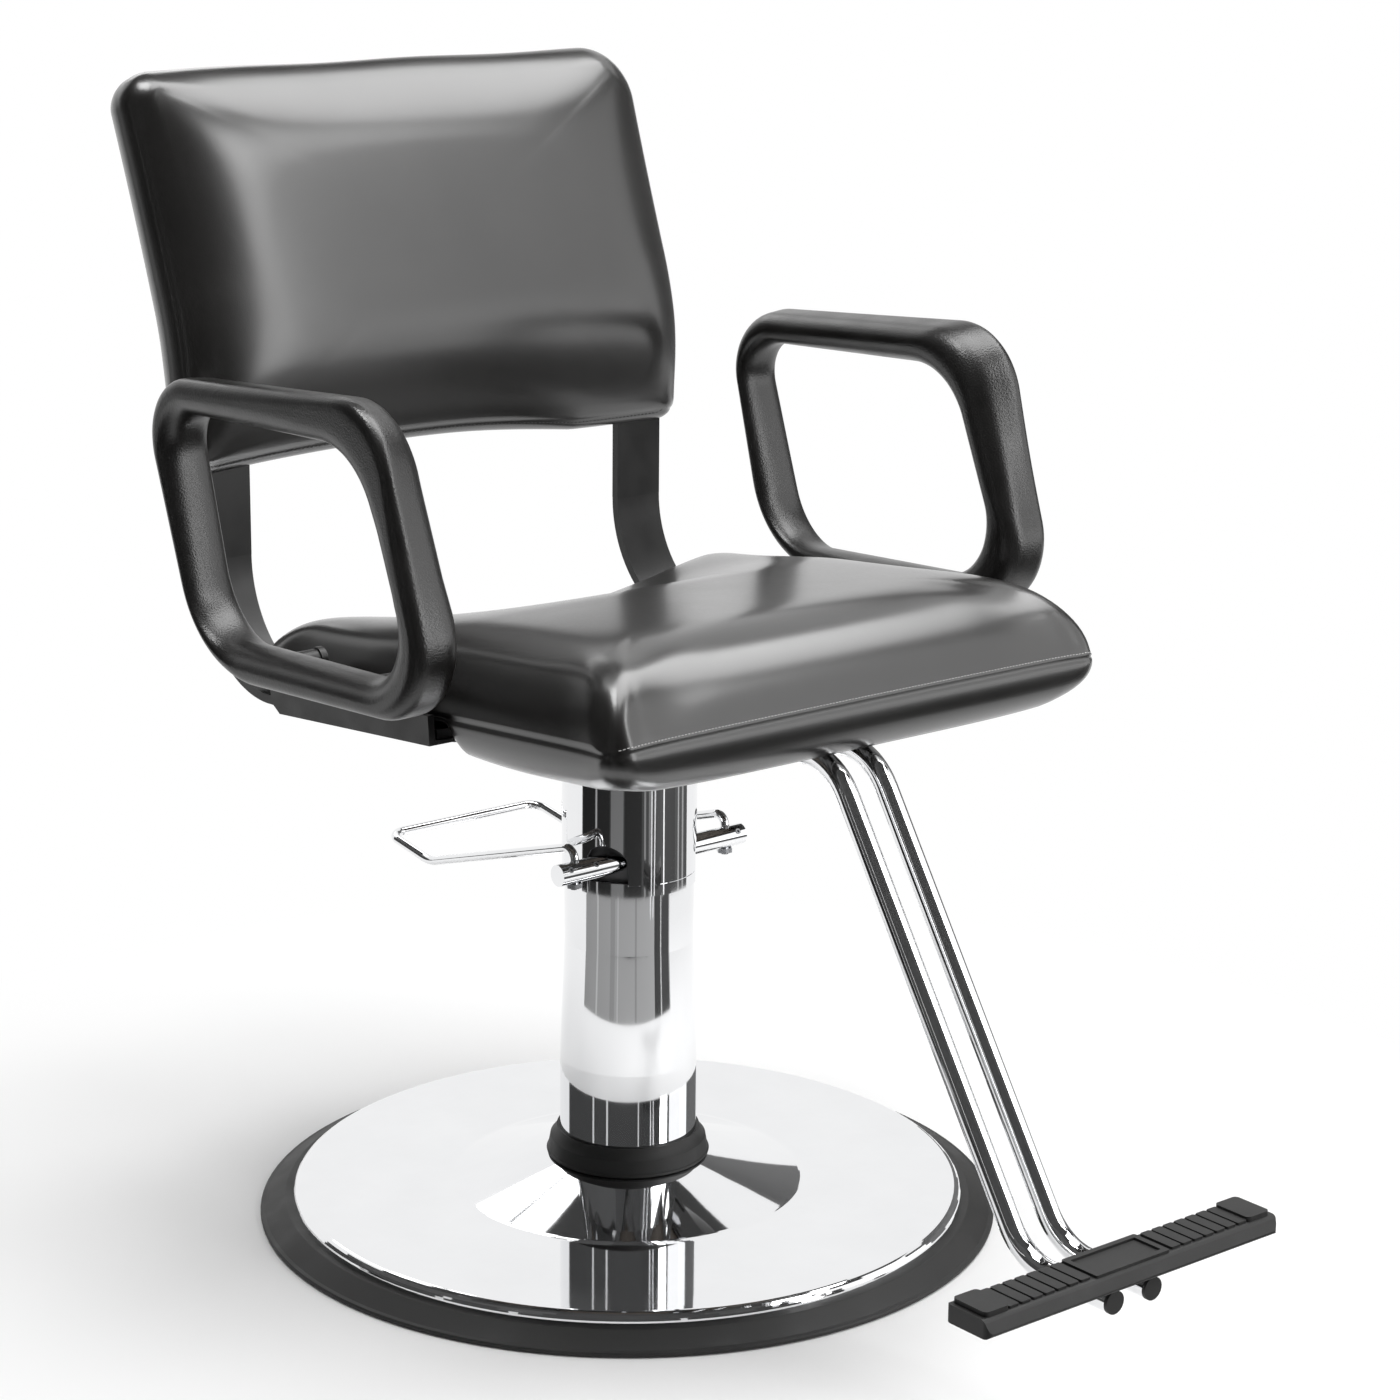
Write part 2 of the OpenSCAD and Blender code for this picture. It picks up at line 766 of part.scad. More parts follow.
// Socket set screws in the rocker shaft
module set_screws() {
  color(black_steel)
    screw_places()
      difference() {
        cylinder(h = screw_len + 0.4, r = screw_r);
        translate([0, 0, screw_len - 2])
          cylinder(h = 4, r = 1.3, $fn = 6);
      }
}

// Nuts on the lever's posts under the shaft
module lever_nuts() {
  nut_h = 4;
  color(steel)
    for (s = [-1, 1])
      translate([s * leg_x, -rocker_off, rocker_z - rocker_r - nut_h])
        difference() {
          cylinder(h = nut_h, r = wire_d / 2 + 3.2, $fn = 6);
          translate([0, 0, -1])
            cylinder(h = nut_h + 2, r = wire_d / 2 + press);
        }
}

// Lift ram with its piston
module lift_ram() {
  color(chrome) {
    translate([0, 0, piston_z])
      cylinder(h = seat_z + bar_low_z - 14 - piston_z, r = ram_r);
    translate([0, 0, piston_z])
      difference() {
        cylinder(h = piston_h, r = cylinder_r - slide_fit);
        translate([0, 0, piston_h / 2 - 3])
          difference() {
            cylinder(h = 6, r = cylinder_r + 1);
            translate([0, 0, -1])
              cylinder(h = 8, r = cylinder_r - 3);
          }
      }
  }
}

// Rubber seal in the piston's groove
module piston_seal() {
  color(black_rubber)
    translate([0, 0, piston_z + piston_h / 2 - 3 + press])
      difference() {
        cylinder(h = 6 - 2 * press, r = cylinder_r - slide_fit);
        translate([0, 0, -1])
          cylinder(h = 8, r = cylinder_r - 3 + press);
      }
}

// Hub on the ram with the flange that holds the sleeve, cut to the seat plate's slope
module ram_hub() {
  color(iron)
    difference() {
      union() {
        translate([0, 0, seat_z + bar_low_z - hub_drop])
          cylinder(h = hub_drop + 20, r = hub_r);
        translate([0, 0, sleeve_top_z - flange_t - 6])
          cylinder(h = flange_t, r = sleeve_in_r - press);
      }
      translate([0, 0, seat_z + bar_low_z - hub_drop - 1])
        cylinder(h = hub_drop - 13, r = ram_r + press);
      on_seat()
        translate([-hub_r - 1, -hub_r - 10, bar_low_z])
          cube([2 * hub_r + 2, 2 * hub_r + 20, 60]);
      sleeve_screw_places()
        cylinder(h = 12, r = 2.5 + press);
    }
}

// Places of the screws that hold the sleeve to the hub's flange
module sleeve_screw_places() {
  for (a = [30:120:270])
    rotate([0, 0, a])
      translate([sleeve_r - 11, 0, sleeve_top_z - flange_t / 2 - 6])
        rotate([0, 90, 0])
          children();
}

// Chromed sleeve that hides the ram, slotted at both sides for the rocker shaft
module column_sleeve() {
  slot_z = rocker_z + 1;
  line_z = sleeve_z + 10;
  color(chrome)
    difference() {
      translate([0, 0, sleeve_z])
        cylinder(h = sleeve_top_z - sleeve_z, r = sleeve_r);
      translate([0, 0, sleeve_z - 1])
        cylinder(h = sleeve_top_z, r = sleeve_in_r);
      translate([-sleeve_r - 1, -rocker_off, slot_z])
        rotate([0, 90, 0])
          cylinder(h = 2 * sleeve_r + 2, r = slot_w / 2);
      translate([-sleeve_r - 1, -rocker_off - slot_w / 2, sleeve_z - 1])
        cube([2 * sleeve_r + 2, slot_w, slot_z - sleeve_z + 1]);
      translate([0, 0, line_z])
        difference() {
          cylinder(h = 0.6, r = sleeve_r + 1);
          translate([0, 0, -1])
            cylinder(h = 3, r = sleeve_r - 0.4);
        }
      sleeve_screw_places()
        cylinder(h = 14, r = 2.5 + press);
    }
}

// Screws of the sleeve
module sleeve_screws() {
  color(steel)
    sleeve_screw_places() {
      cylinder(h = 11.2, r = 2.5);
      translate([0, 0, 11 + press])
        cylinder(h = 1.6, r = 4.4);
    }
}

// Places of the bolts that hold the seat plate to the board
module seat_plate_bolt_places() {
  on_seat()
    for (i = [-1, 1], j = [-1, 1])
      translate([i * plate_bolt, j * plate_bolt, bar_low_z])
        children();
}

// Steel plate on the hub that carries the seat board
module seat_plate() {
  color(black_steel)
    difference() {
      on_seat()
        translate([-plate_half, -plate_half, bar_low_z])
          linear_extrude(bar_t)
            translate([plate_half, plate_half])
              round_rect(seat_plate_w, seat_plate_w, 16);
      seat_plate_bolt_places()
        translate([0, 0, -1])
          cylinder(h = bar_t + 2, r = bolt_r + bolt_fit);
    }
}

// Bolts of the seat plate
module seat_plate_bolts() {
  color(steel)
    seat_plate_bolt_places()
      mirror([0, 0, 1])
        bolt(bolt_r, bar_t + board_t - 4, bolt_head_r, bolt_head_h);
}

// Plywood seat board, drilled for the plate, the bars and the footrest bracket
module seat_board() {
  color(plywood)
    difference() {
      on_seat()
        translate([0, (board_rear - board_front) / 2, board_z])
          linear_extrude(board_t)
            round_rect(2 * board_hw, board_front + board_rear, 24);
      seat_plate_bolt_places()
        cylinder(h = bar_t + board_t - 4 + 0.1, r = bolt_r + press);
      both_sides()
        bar_bolt_places()
          cylinder(h = foot_t + bar_t + board_t - 4 + 0.1, r = bolt_r + press);
      bracket_bolt_places()
        cylinder(h = bracket_wall + board_t - 4 + 0.1, r = 4 + press);
    }
}

// Underside of the seat cushion along the seat: level with the board, deeper in front of the side plates
// and rising at the rear, clear of the bend of the back bars
lip_start = 12;
lip_drop = 14;
rear_rise = 0.22;
bend_y = (bar_y - bar_mid_z * sin(seat_tilt)) / cos(seat_tilt) - bar_bend * tan(45 + seat_tilt / 2) - 6;
function under(y) =
  let (d = -side_front - 3 - y)
  y > bend_y ? board_z + rear_rise * (y - bend_y)
    : d <= 0 ? board_z
    : d < lip_start ? board_z - lip_drop * d / lip_start
    : board_z - lip_drop
      - (seat_lip - board_t - lip_drop) * (d - lip_start) / (seat_front - side_front - 3 - lip_start);

// Seat cushion: crowned top with a hollow at the rear, a seam, drawn-in sides and a recess for the board
module seat_cushion() {
  hw = seat_w / 2;
  mid = (seat_rear - seat_front) / 2;
  pull = 4;
  crown_run = 164;
  function rise(inset) = 1 - pow(1 - min(inset / crown_run, 1), 7);
  function hollow(x, y) = let (v = max(0, min(1, (y + 56) / 190))) seat_dish * v * v * (3 - 2 * v)
    * pow(1 - pow(x / (hw + 41), 2), 2);
  run = seat_front + seat_rear - 2 * seat_corner;
  dip = (seat_front - seat_corner - side_front - 3 - lip_start) / run;
  flat = (seat_front - seat_corner - side_front + 1) / run;
  stops = [dip / 3, dip * 2 / 3, dip, flat, flat + (1 - flat) / 4, flat + (1 - flat) / 2, flat + (1 - flat) * 3 / 4];
  function round_at(inset) = seat_corner + 0.6 * min(inset, 40);
  function outline(inset) =
    ring(hw - inset, seat_front - inset, seat_rear - inset, round_at(inset), pull, along = stops);
  function level(inset) =
    [for (p = outline(inset)) [p.x, p.y, rise(inset) * (seat_crown - hollow(p.x, p.y))]];
  function below(inset, share) = [for (p = outline(inset)) [p.x, p.y, share * under(p.y)]];
  insets = [190, 130, 90, 60, 40, 26, 16, 9, 4, 1.5, 0];
  color(vinyl)
    on_seat()
      difference() {
        skin([0, mid, seat_crown - hollow(0, mid)],
          concat(
            [for (d = insets) level(d)],
            [below(2, 0.12), below(5, 0.45), below(7, 0.8), below(12, 1)]),
          [0, mid, board_z]);
        translate([0, (board_rear - board_front) / 2, -3 * seat_lip])
          linear_extrude(3 * seat_lip + fit)
            round_rect(2 * (board_hw + fit), board_front + board_rear + 2 * fit, 24 + fit);
      }
}

// Middle line of a back bar as [y, z]: along the seat, up behind it, then leaning back
bar_run_z = bar_mid_z;
function bar_line() =
  let (
    along = (bar_y - bar_run_z * sin(seat_tilt)) / cos(seat_tilt),
    knee = seat_pt(along, bar_run_z),
    bend = [bar_y, lean_z + lean_r * tan(lean / 2)],
    up = lean_r * tan(lean / 2) + back_bar_len - (lean_z - back_low_z) - lean_r * lean * PI / 180)
  [seat_pt(-side_front + 4, bar_run_z), knee, bend, bend + up * [sin(lean), cos(lean)]];

// Places of the bolts through a bar and a side plate's foot
bar_bolt_y = [-50, 30, 110];
module bar_bolt_places() {
  on_seat()
    for (y = bar_bolt_y)
      translate([bar_x - 10, y, bar_low_z - foot_t])
        children();
}

// Flat steel bar under one side of the seat that rises to carry the back
module back_bar() {
  color(black_steel)
    difference() {
      translate([bar_x, 0, 0])
        side_plane()
          sweep_path(bar_line(), [0, bar_bend, lean_r, 0])
            square([bar_t, bar_w], center = true);
      bar_bolt_places()
        cylinder(h = bar_t + foot_t + 1, r = bolt_r + bolt_fit);
      back_screw_places()
        translate([0, 0, -bar_t])
          cylinder(h = 3 * bar_t, r = 3 + press);
    }
}

module left_back_bar() {
  back_bar();
}

module right_back_bar() {
  mirror([1, 0, 0])
    back_bar();
}

// Bolts that hold the bars and side plates to the seat board
module back_bar_bolts() {
  color(steel)
    both_sides()
      bar_bolt_places()
        mirror([0, 0, 1])
          bolt(bolt_r, foot_t + bar_t + board_t - 4, bolt_head_r, bolt_head_h);
}

// Middle of the arm's low bar at y, and the arm bolts below it on the seat's frame
function arm_low(y) =
  let (a = arm_corners[0], b = arm_corners[1])
  a.y + (b.y - a.y) * (y - a.x) / (b.x - a.x);
arm_bolt_at = [for (y = arm_bolt_y) to_seat(y, arm_low(y) - arm_bolt_drop)];

// Places of the arm bolts on one side
module arm_bolt_places() {
  on_seat()
    for (p = arm_bolt_at)
      translate([side_x, p.x, p.y])
        rotate([0, 90, 0])
          children();
}

// Side plate: an angle under the bar whose upright face has two ears for the arm
module side_plate() {
  len = side_front + side_rear;
  inner = bar_x - bar_w / 2 + 4;
  low = bar_low_z - foot_t;
  color(black_steel)
    difference() {
      union() {
        on_seat()
          translate([side_x, 0, 0])
            side_plane()
              linear_extrude(side_t) {
                translate([-side_front, low])
                  square([len - 12, -low + 2]);
                polygon([[side_rear - 12.01, low], [side_rear, low + 9], [side_rear, 2], [side_rear - 12.01, 2]]);
                for (p = arm_bolt_at) {
                  translate([p.x - ear_r, 0])
                    square([2 * ear_r, p.y]);
                  translate(p)
                    circle(ear_r);
                }
              }
        on_seat()
          translate([inner, -side_front, low])
            cube([side_x - inner + 0.01, len - 40, foot_t]);
      }
      arm_bolt_places()
        translate([0, 0, -1])
          cylinder(h = side_t + 2, r = arm_bolt_r + bolt_fit);
      bar_bolt_places()
        translate([0, 0, -1])
          cylinder(h = foot_t + 2, r = bolt_r + bolt_fit);
    }
}

module left_side_plate() {
  side_plate();
}

module right_side_plate() {
  mirror([1, 0, 0])
    side_plate();
}

// Moulded arm: a closed loop with round edges, tapped for its bolts
module arm() {
  color(urethane)
    difference() {
      translate([arm_x + arm_w / 2, 0, 0])
        side_plane()
          sweep_path(arm_corners, arm_bends, closed = true)
            round_rect(arm_t, arm_w, arm_edge);
      arm_bolt_places()
        cylinder(h = arm_x - side_x + arm_bolt_in, r = arm_bolt_r + press);
    }
}

module left_arm() {
  arm();
}

module right_arm() {
  mirror([1, 0, 0])
    arm();
}

// Steel spacers between the side plates and the arms
module arm_spacers() {
  color(black_steel)
    both_sides()
      arm_bolt_places()
        translate([0, 0, side_t])
          difference() {
            cylinder(h = arm_x - side_x - side_t, r = spacer_r);
            translate([0, 0, -1])
              cylinder(h = arm_x, r = arm_bolt_r + bolt_fit);
          }
}

// Arm bolts, driven from inside the side plates
module arm_bolts() {
  color(steel)
    both_sides()
      arm_bolt_places()
        mirror([0, 0, 1])
          bolt(arm_bolt_r, arm_x - side_x + arm_bolt_in - 1, 6.5, 2.6);
}

// Point of the back at x, s along its bend from the hem and n in front of the bars' middle
function back_pt(x, s, n) =
  let (
    rise = lean_z - back_low_z,
    a = max(0, min(lean, (s - rise) / lean_r * 180 / PI)),
    past = max(0, s - rise - lean_r * lean * PI / 180),
    low = min(s, rise),
    y = bar_y + lean_r * (1 - cos(a)) + past * sin(lean),
    z = back_low_z + low + lean_r * sin(a) + past * cos(lean))
  [x, y - n * cos(a), z + n * sin(a)];

// Ring of the back at an inset from its outline, n in front of the bars
function back_ring(inset, n) =
  [for (p = ring(back_w / 2 - inset, back_len / 2 - inset, back_len / 2 - inset, back_corner, 3,
      evenly(4), evenly(12)))
    back_pt(p.x, p.y + back_len / 2, n)];

bar_face = bar_t / 2 + press;
rear_face = -bar_face - 2 * fit;
pocket = bar_face + back_board_t + fit;

// Bent slab between two depths of the back, from one length along it to another
module back_slab(n0, n1, s0, s1, w) {
  mid = (n0 + n1) / 2;
  r = lean_r + mid;
  bend = [bar_y - mid, lean_z + r * tan(lean / 2)];
  rest = s1 - (lean_z - back_low_z) - lean_r * lean * PI / 180;
  side_plane()
    sweep_path([[bar_y - mid, back_low_z + s0], bend, bend + (r * tan(lean / 2) + rest) * [sin(lean), cos(lean)]],
        [0, r, 0])
      square([n1 - n0, w], center = true);
}

// Room for the board and the bars between the two pads of the back
module back_pocket() {
  back_slab(rear_face, pocket, back_inset, back_len - back_inset, 2 * bar_x + bar_w + 4);
}

// Front cushion of the back: crowned face, drawn-in sides, a rim round the board and notches for the bars
module back_cushion() {
  color(vinyl)
    difference() {
      skin(back_pt(0, back_len / 2, back_front_t),
        [back_ring(150, back_front_t), back_ring(110, back_front_t - 0.6), back_ring(75, back_front_t - 2.5),
         back_ring(46, back_front_t - 6), back_ring(24, back_front_t - 12), back_ring(9, back_front_t - 21),
         back_ring(2, back_front_t - 31), back_ring(0, -bar_face - fit)],
        back_pt(0, back_len / 2, -bar_face - fit));
      back_pocket();
      both_sides()
        translate([bar_x - bar_w / 2 - hem_gap, bar_y - bar_face - hem_gap, back_low_z - 5])
          cube([bar_w + 2 * hem_gap, 2 * bar_face + 2 * hem_gap + 1, back_inset + 6]);
    }
}

// Rear cushion of the back, flat against the bars
module back_rear_pad() {
  color(vinyl)
    difference() {
      skin(back_pt(0, back_len / 2, rear_face),
        [back_ring(1, rear_face), back_ring(0, rear_face - 6), back_ring(4, -back_rear_t + 17),
         back_ring(14, -back_rear_t + 8), back_ring(36, -back_rear_t + 2.5), back_ring(80, -back_rear_t + 0.5),
         back_ring(140, -back_rear_t)],
        back_pt(0, back_len / 2, -back_rear_t));
      back_pocket();
    }
}

// Plywood board inside the back, bent like the bars
module back_board() {
  margin = back_inset + 4;
  color(plywood)
    difference() {
      back_slab(bar_face, bar_face + back_board_t, margin, back_len - margin, 2 * bar_x + bar_w - 8);
      both_sides()
        back_screw_places()
          translate([0, 0, -bar_t])
            cylinder(h = 2 * bar_t + back_board_t - 2 + 0.1, r = 3 + press);
    }
}

// Places of the screws through the leaning part of a bar, pointing forward
back_screw_s = [200, 250];
module back_screw_places() {
  for (s = back_screw_s) {
    p = back_pt(bar_x, s, 0);
    translate(p)
      rotate([90 - lean, 0, 0])
        children();
  }
}

// Screws that hold the back board to the bars
module back_board_screws() {
  color(steel)
    both_sides()
      back_screw_places()
        translate([0, 0, -bar_t / 2 + press])
          cylinder(h = bar_t + back_board_t - 2, r = 3);
}

// Places of the footrest bracket's bolts
module bracket_bolt_places() {
  on_seat()
    for (y = bracket_y, s = [-1, 1])
      translate([s * (bracket_len / 2 - 12), y, board_z - bracket_wall])
        children();
}

// Two channel cross-members under the board that carry the footrest tubes
module footrest_bracket() {
  color(black_steel)
    difference() {
      on_seat()
        for (y = bracket_y)
          translate([-bracket_len / 2, y, board_z])
            rotate([0, 90, 0])
              linear_extrude(bracket_len)
                difference() {
                  translate([0, -bracket_w / 2])
                    square([bracket_h, bracket_w]);
                  translate([bracket_wall, -bracket_w / 2 + bracket_wall])
                    square([bracket_h, bracket_w - 2 * bracket_wall]);
                }
      bracket_bolt_places()
        translate([0, 0, -1])
          cylinder(h = bracket_wall + 2, r = 4 + bolt_fit);
    }
}

// Bolts of the footrest bracket
module footrest_bolts() {
  color(steel)
    bracket_bolt_places()
      mirror([0, 0, 1])
        bolt(4, bracket_wall + board_t - 4, 6.5, 5);
}

// Middle line of a footrest tube as [y, z]
function tube_line() =
  let (
    start = seat_pt(tube_rear_y, board_z - tube_drop),
    knee = [-tube_knee, seat_pt(0, board_z - tube_drop).y + tube_knee * tan(seat_tilt)],
    toe = [-tube_knee - (knee.y - rest_z) / tan(tube_slope), rest_z])
  [start, knee, toe, [-rest_reach, rest_z]];

// Bent chromed footrest tube
module footrest_tube() {
  color(chrome)
    difference() {
      translate([tube_x, 0, 0])
        side_plane()
          sweep_path(tube_line(), [0, tube_bend, tube_bend, 0])
            difference() {
              circle(tube_r);
              circle(tube_r - tube_wall);
            }
      pad_screw_places()
        cylinder(h = 2 * tube_r, r = 2.5 + bolt_fit);
    }
}

module left_footrest_tube() {
  footrest_tube();
}

module right_footrest_tube() {
  mirror([1, 0, 0])
    footrest_tube();
}

// Places of the screws from the tubes into the pad
module pad_screw_places() {
  for (d = [pad_w * 0.5, pad_w * 0.8])
    translate([tube_x, -pad_front + d, rest_z])
      children();
}

// Rubber footrest pad: slanting front, round ends, cross ribs, raised ends and a framed middle
module footrest_pad() {
  half = pad_len / 2;
  body_t = pad_t - 3;
  span = half - end_pad - frame_hw - 6;
  color(black_rubber)
    difference() {
      union() {
        translate([-half, 0, 0])
          side_plane()
            linear_extrude(pad_len)
              translate([-pad_front, pad_z])
                polygon(concat(
                  arc([4, 4], 4, 180, 270, 4), arc([pad_w - 4, 4], 4, 270, 360, 4),
                  arc([pad_w - 3, body_t - 3], 3, 0, 90, 4), arc([8, body_t - 5], 5, 90, 150, 4)));
        for (s = [-1, 1])
          translate([s * (half - 4 - end_pad / 2), -pad_front + pad_w / 2 + 2, pad_z + body_t - 1])
            linear_extrude(pad_t - body_t + 2)
              round_rect(end_pad, pad_w - 10, 4);
        for (s = [-1, 1], i = [0:rib_n - 1])
          translate([s * (frame_hw + 3 + (i + 0.5) * span / rib_n), -pad_front + pad_w / 2 + 2, pad_z + body_t - 1])
            linear_extrude(pad_t - body_t)
              round_rect(span / rib_n - rib_gap, pad_w - 12, 1.5);
        translate([0, -pad_front + pad_w / 2 + 2, pad_z + body_t - 1])
          linear_extrude(pad_t - body_t)
            difference() {
              round_rect(2 * frame_hw, pad_w - 8, 2);
              round_rect(2 * frame_hw - 10, pad_w - 18, 1);
            }
      }
      both_sides()
        pad_screw_places()
          cylinder(h = tube_r + 9, r = 2.5 + press);
      for (s = [-1, 1], j = [0, 1])
        translate([s * half, -pad_front + j * pad_w, pad_z - 1])
          mirror([s > 0 ? 1 : 0, 0, 0])
            mirror([0, j, 0])
              difference() {
                translate([-1, -1, 0])
                  cube([7, 7, pad_t + 4]);
                translate([6, 6, -1])
                  cylinder(h = pad_t + 6, r = 6);
              }
    }
}

// Plugs in the tubes' front ends
module tube_plugs() {
  color(black_rubber)
    both_sides()
      translate([tube_x, -rest_reach, rest_z])
        rotate([90, 0, 0]) {
          translate([0, 0, -plug_len])
            cylinder(h = plug_len + 0.5, r = tube_r - tube_wall - press);
          translate([0, 0, press])
            cylinder(h = plug_head, r = tube_r);
        }
}

// Screws from the tubes into the pad
module footrest_screws() {
  color(steel)
    both_sides()
      pad_screw_places() {
        translate([0, 0, tube_r - tube_wall - 3.2])
          cylinder(h = 2, r = 3.8);
        translate([0, 0, tube_r - tube_wall - 2.2])
          cylinder(h = tube_wall + 10.2, r = 2.5);
      }
}

base_plate();
base_bumper();
base_weight();
base_socket();
socket_bush();
socket_bolts();
thrust_washer();
column_gasket();
column_tube();
column_plug();
oil_cylinder();
pump_head();
ram_wiper();
plunger_spring();
pump_plunger();
rocker_shaft();
pump_lever();
rocker_arm();
set_screws();
lever_nuts();
lift_ram();
piston_seal();
ram_hub();
column_sleeve();
sleeve_screws();
seat_plate();
seat_plate_bolts();
seat_board();
seat_cushion();
left_back_bar();
right_back_bar();
back_bar_bolts();
left_side_plate();
right_side_plate();
left_arm();
right_arm();
arm_spacers();
arm_bolts();
back_board();
back_board_screws();
back_cushion();
back_rear_pad();
footrest_bracket();
footrest_bolts();
left_footrest_tube();
right_footrest_tube();
footrest_pad();
tube_plugs();
footrest_screws();
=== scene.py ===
import bpy
import json
import numpy as np
from mathutils import Matrix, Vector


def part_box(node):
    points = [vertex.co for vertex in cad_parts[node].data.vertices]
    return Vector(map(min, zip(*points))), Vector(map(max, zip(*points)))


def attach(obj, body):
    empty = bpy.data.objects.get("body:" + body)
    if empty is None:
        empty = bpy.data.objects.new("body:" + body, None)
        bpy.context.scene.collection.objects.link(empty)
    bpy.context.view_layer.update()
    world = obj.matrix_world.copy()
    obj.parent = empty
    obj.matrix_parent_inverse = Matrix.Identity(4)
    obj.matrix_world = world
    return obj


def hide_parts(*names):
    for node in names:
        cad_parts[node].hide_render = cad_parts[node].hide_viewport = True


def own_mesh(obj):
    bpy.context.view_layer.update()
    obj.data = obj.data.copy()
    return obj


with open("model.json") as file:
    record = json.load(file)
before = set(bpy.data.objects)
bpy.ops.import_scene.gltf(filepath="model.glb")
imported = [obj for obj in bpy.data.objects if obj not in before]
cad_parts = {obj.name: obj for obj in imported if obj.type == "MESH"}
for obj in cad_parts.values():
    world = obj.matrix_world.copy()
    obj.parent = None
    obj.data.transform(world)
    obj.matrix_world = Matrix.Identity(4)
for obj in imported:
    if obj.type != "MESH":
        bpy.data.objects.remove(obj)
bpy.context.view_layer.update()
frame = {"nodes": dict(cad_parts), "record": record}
nodes = frame["nodes"]
record = frame["record"]
print("frame loaded:", len(nodes), "nodes")


# camera: the photograph's own place, lens and framing
viewPoint = {
    "position": (-1.8206, -2.2974, 1.2449),
    "heading": -39.036,   # degrees, zero looks along +Y
    "tilt": 14.798,       # degrees below the horizon
    "roll": 0.457,
    "lens": 89.70,        # millimetres on a 36 mm sensor
    "shift": (0.02299, -0.003466),
}


def placeCamera(v):
    yaw, tilt, roll = np.radians([v["heading"], v["tilt"], v["roll"]])
    right = np.array([np.cos(yaw), np.sin(yaw), 0.0])
    ahead = np.array([-np.sin(yaw) * np.cos(tilt), np.cos(yaw) * np.cos(tilt), -np.sin(tilt)])
    up = np.cross(right, ahead)
    rolledRight = right * np.cos(roll) + up * np.sin(roll)
    rolledUp = up * np.cos(roll) - right * np.sin(roll)
    data = bpy.data.cameras.new("photoCamera")
    data.sensor_width = 36.0
    data.lens = v["lens"]
    data.shift_x, data.shift_y = v["shift"]
    data.clip_end = 50.0
    cam = bpy.data.objects.new("photoCamera", data)
    bpy.context.scene.collection.objects.link(cam)
    pose = np.eye(4)
    pose[:3, 0], pose[:3, 1], pose[:3, 2], pose[:3, 3] = rolledRight, rolledUp, -ahead, v["position"]
    cam.matrix_world = Matrix(pose.tolist())
    bpy.context.scene.camera = cam


placeCamera(viewPoint)
print("camera placed")


# node helpers for materials
def newMaterial(name):
    mat = bpy.data.materials.new(name)
    mat.use_nodes = True
    tree = mat.node_tree
    shader = tree.nodes["Principled BSDF"]
    coord = tree.nodes.new("ShaderNodeTexCoord")
    return mat, tree, shader, coord.outputs["Object"]


def noiseAt(tree, where, scale, detail):
    node = tree.nodes.new("ShaderNodeTexNoise")
    node.inputs["Scale"].default_value = scale
    node.inputs["Detail"].default_value = detail
    node.inputs["Roughness"].default_value = 0.55
    tree.links.new(where, node.inputs["Vector"])
    return node.outputs["Fac"]


def cellsAt(tree, where, scale):
    node = tree.nodes.new("ShaderNodeTexVoronoi")
    node.inputs["Scale"].default_value = scale
    tree.links.new(where, node.inputs["Vector"])
    return node.outputs["Distance"]


def stretched(tree, where, scale):
    node = tree.nodes.new("ShaderNodeMapping")
    node.inputs["Scale"].default_value = scale
    tree.links.new(where, node.inputs["Vector"])
    return node.outputs["Vector"]


def rangeOf(tree, value, low, high, outLow, outHigh):
    node = tree.nodes.new("ShaderNodeMapRange")
    for key, number in (("From Min", low), ("From Max", high), ("To Min", outLow), ("To Max", outHigh)):
        node.inputs[key].default_value = number
    tree.links.new(value, node.inputs["Value"])
    return node.outputs["Result"]


def twoTone(tree, value, low, high, first, second):
    node = tree.nodes.new("ShaderNodeValToRGB")
    ramp = node.color_ramp
    ramp.elements[0].position, ramp.elements[1].position = low, high
    ramp.elements[0].color = (*first, 1.0)
    ramp.elements[1].color = (*second, 1.0)
    tree.links.new(value, node.inputs["Fac"])
    return node.outputs["Color"]


def added(tree, first, second, share):
    node = tree.nodes.new("ShaderNodeMath")
    node.operation = "MULTIPLY_ADD"
    node.inputs[1].default_value = share
    tree.links.new(second, node.inputs[0])
    tree.links.new(first, node.inputs[2])
    return node.outputs["Value"]


def raised(tree, shader, height, strength, distance):
    node = tree.nodes.new("ShaderNodeBump")
    node.inputs["Strength"].default_value = strength
    node.inputs["Distance"].default_value = distance
    tree.links.new(height, node.inputs["Height"])
    tree.links.new(node.outputs["Normal"], shader.inputs["Normal"])


# smooth black upholstery vinyl: fine pebble grain, slow changes of sheen
vinylLook = {
    "dark": (0.0060, 0.0054, 0.0050), "light": (0.0085, 0.0077, 0.0071), "low": 0.28, "high": 0.35,
    "specular": 0.65, "coat": 0.7, "coatRough": 0.2, "bump": 0.10, "grainDepth": 0.0003,
    "cloud": (9.0, 4.0), "fine": (320.0, 2.0), "grain": 900.0,   # noise scales and details, and the cells' scale
}


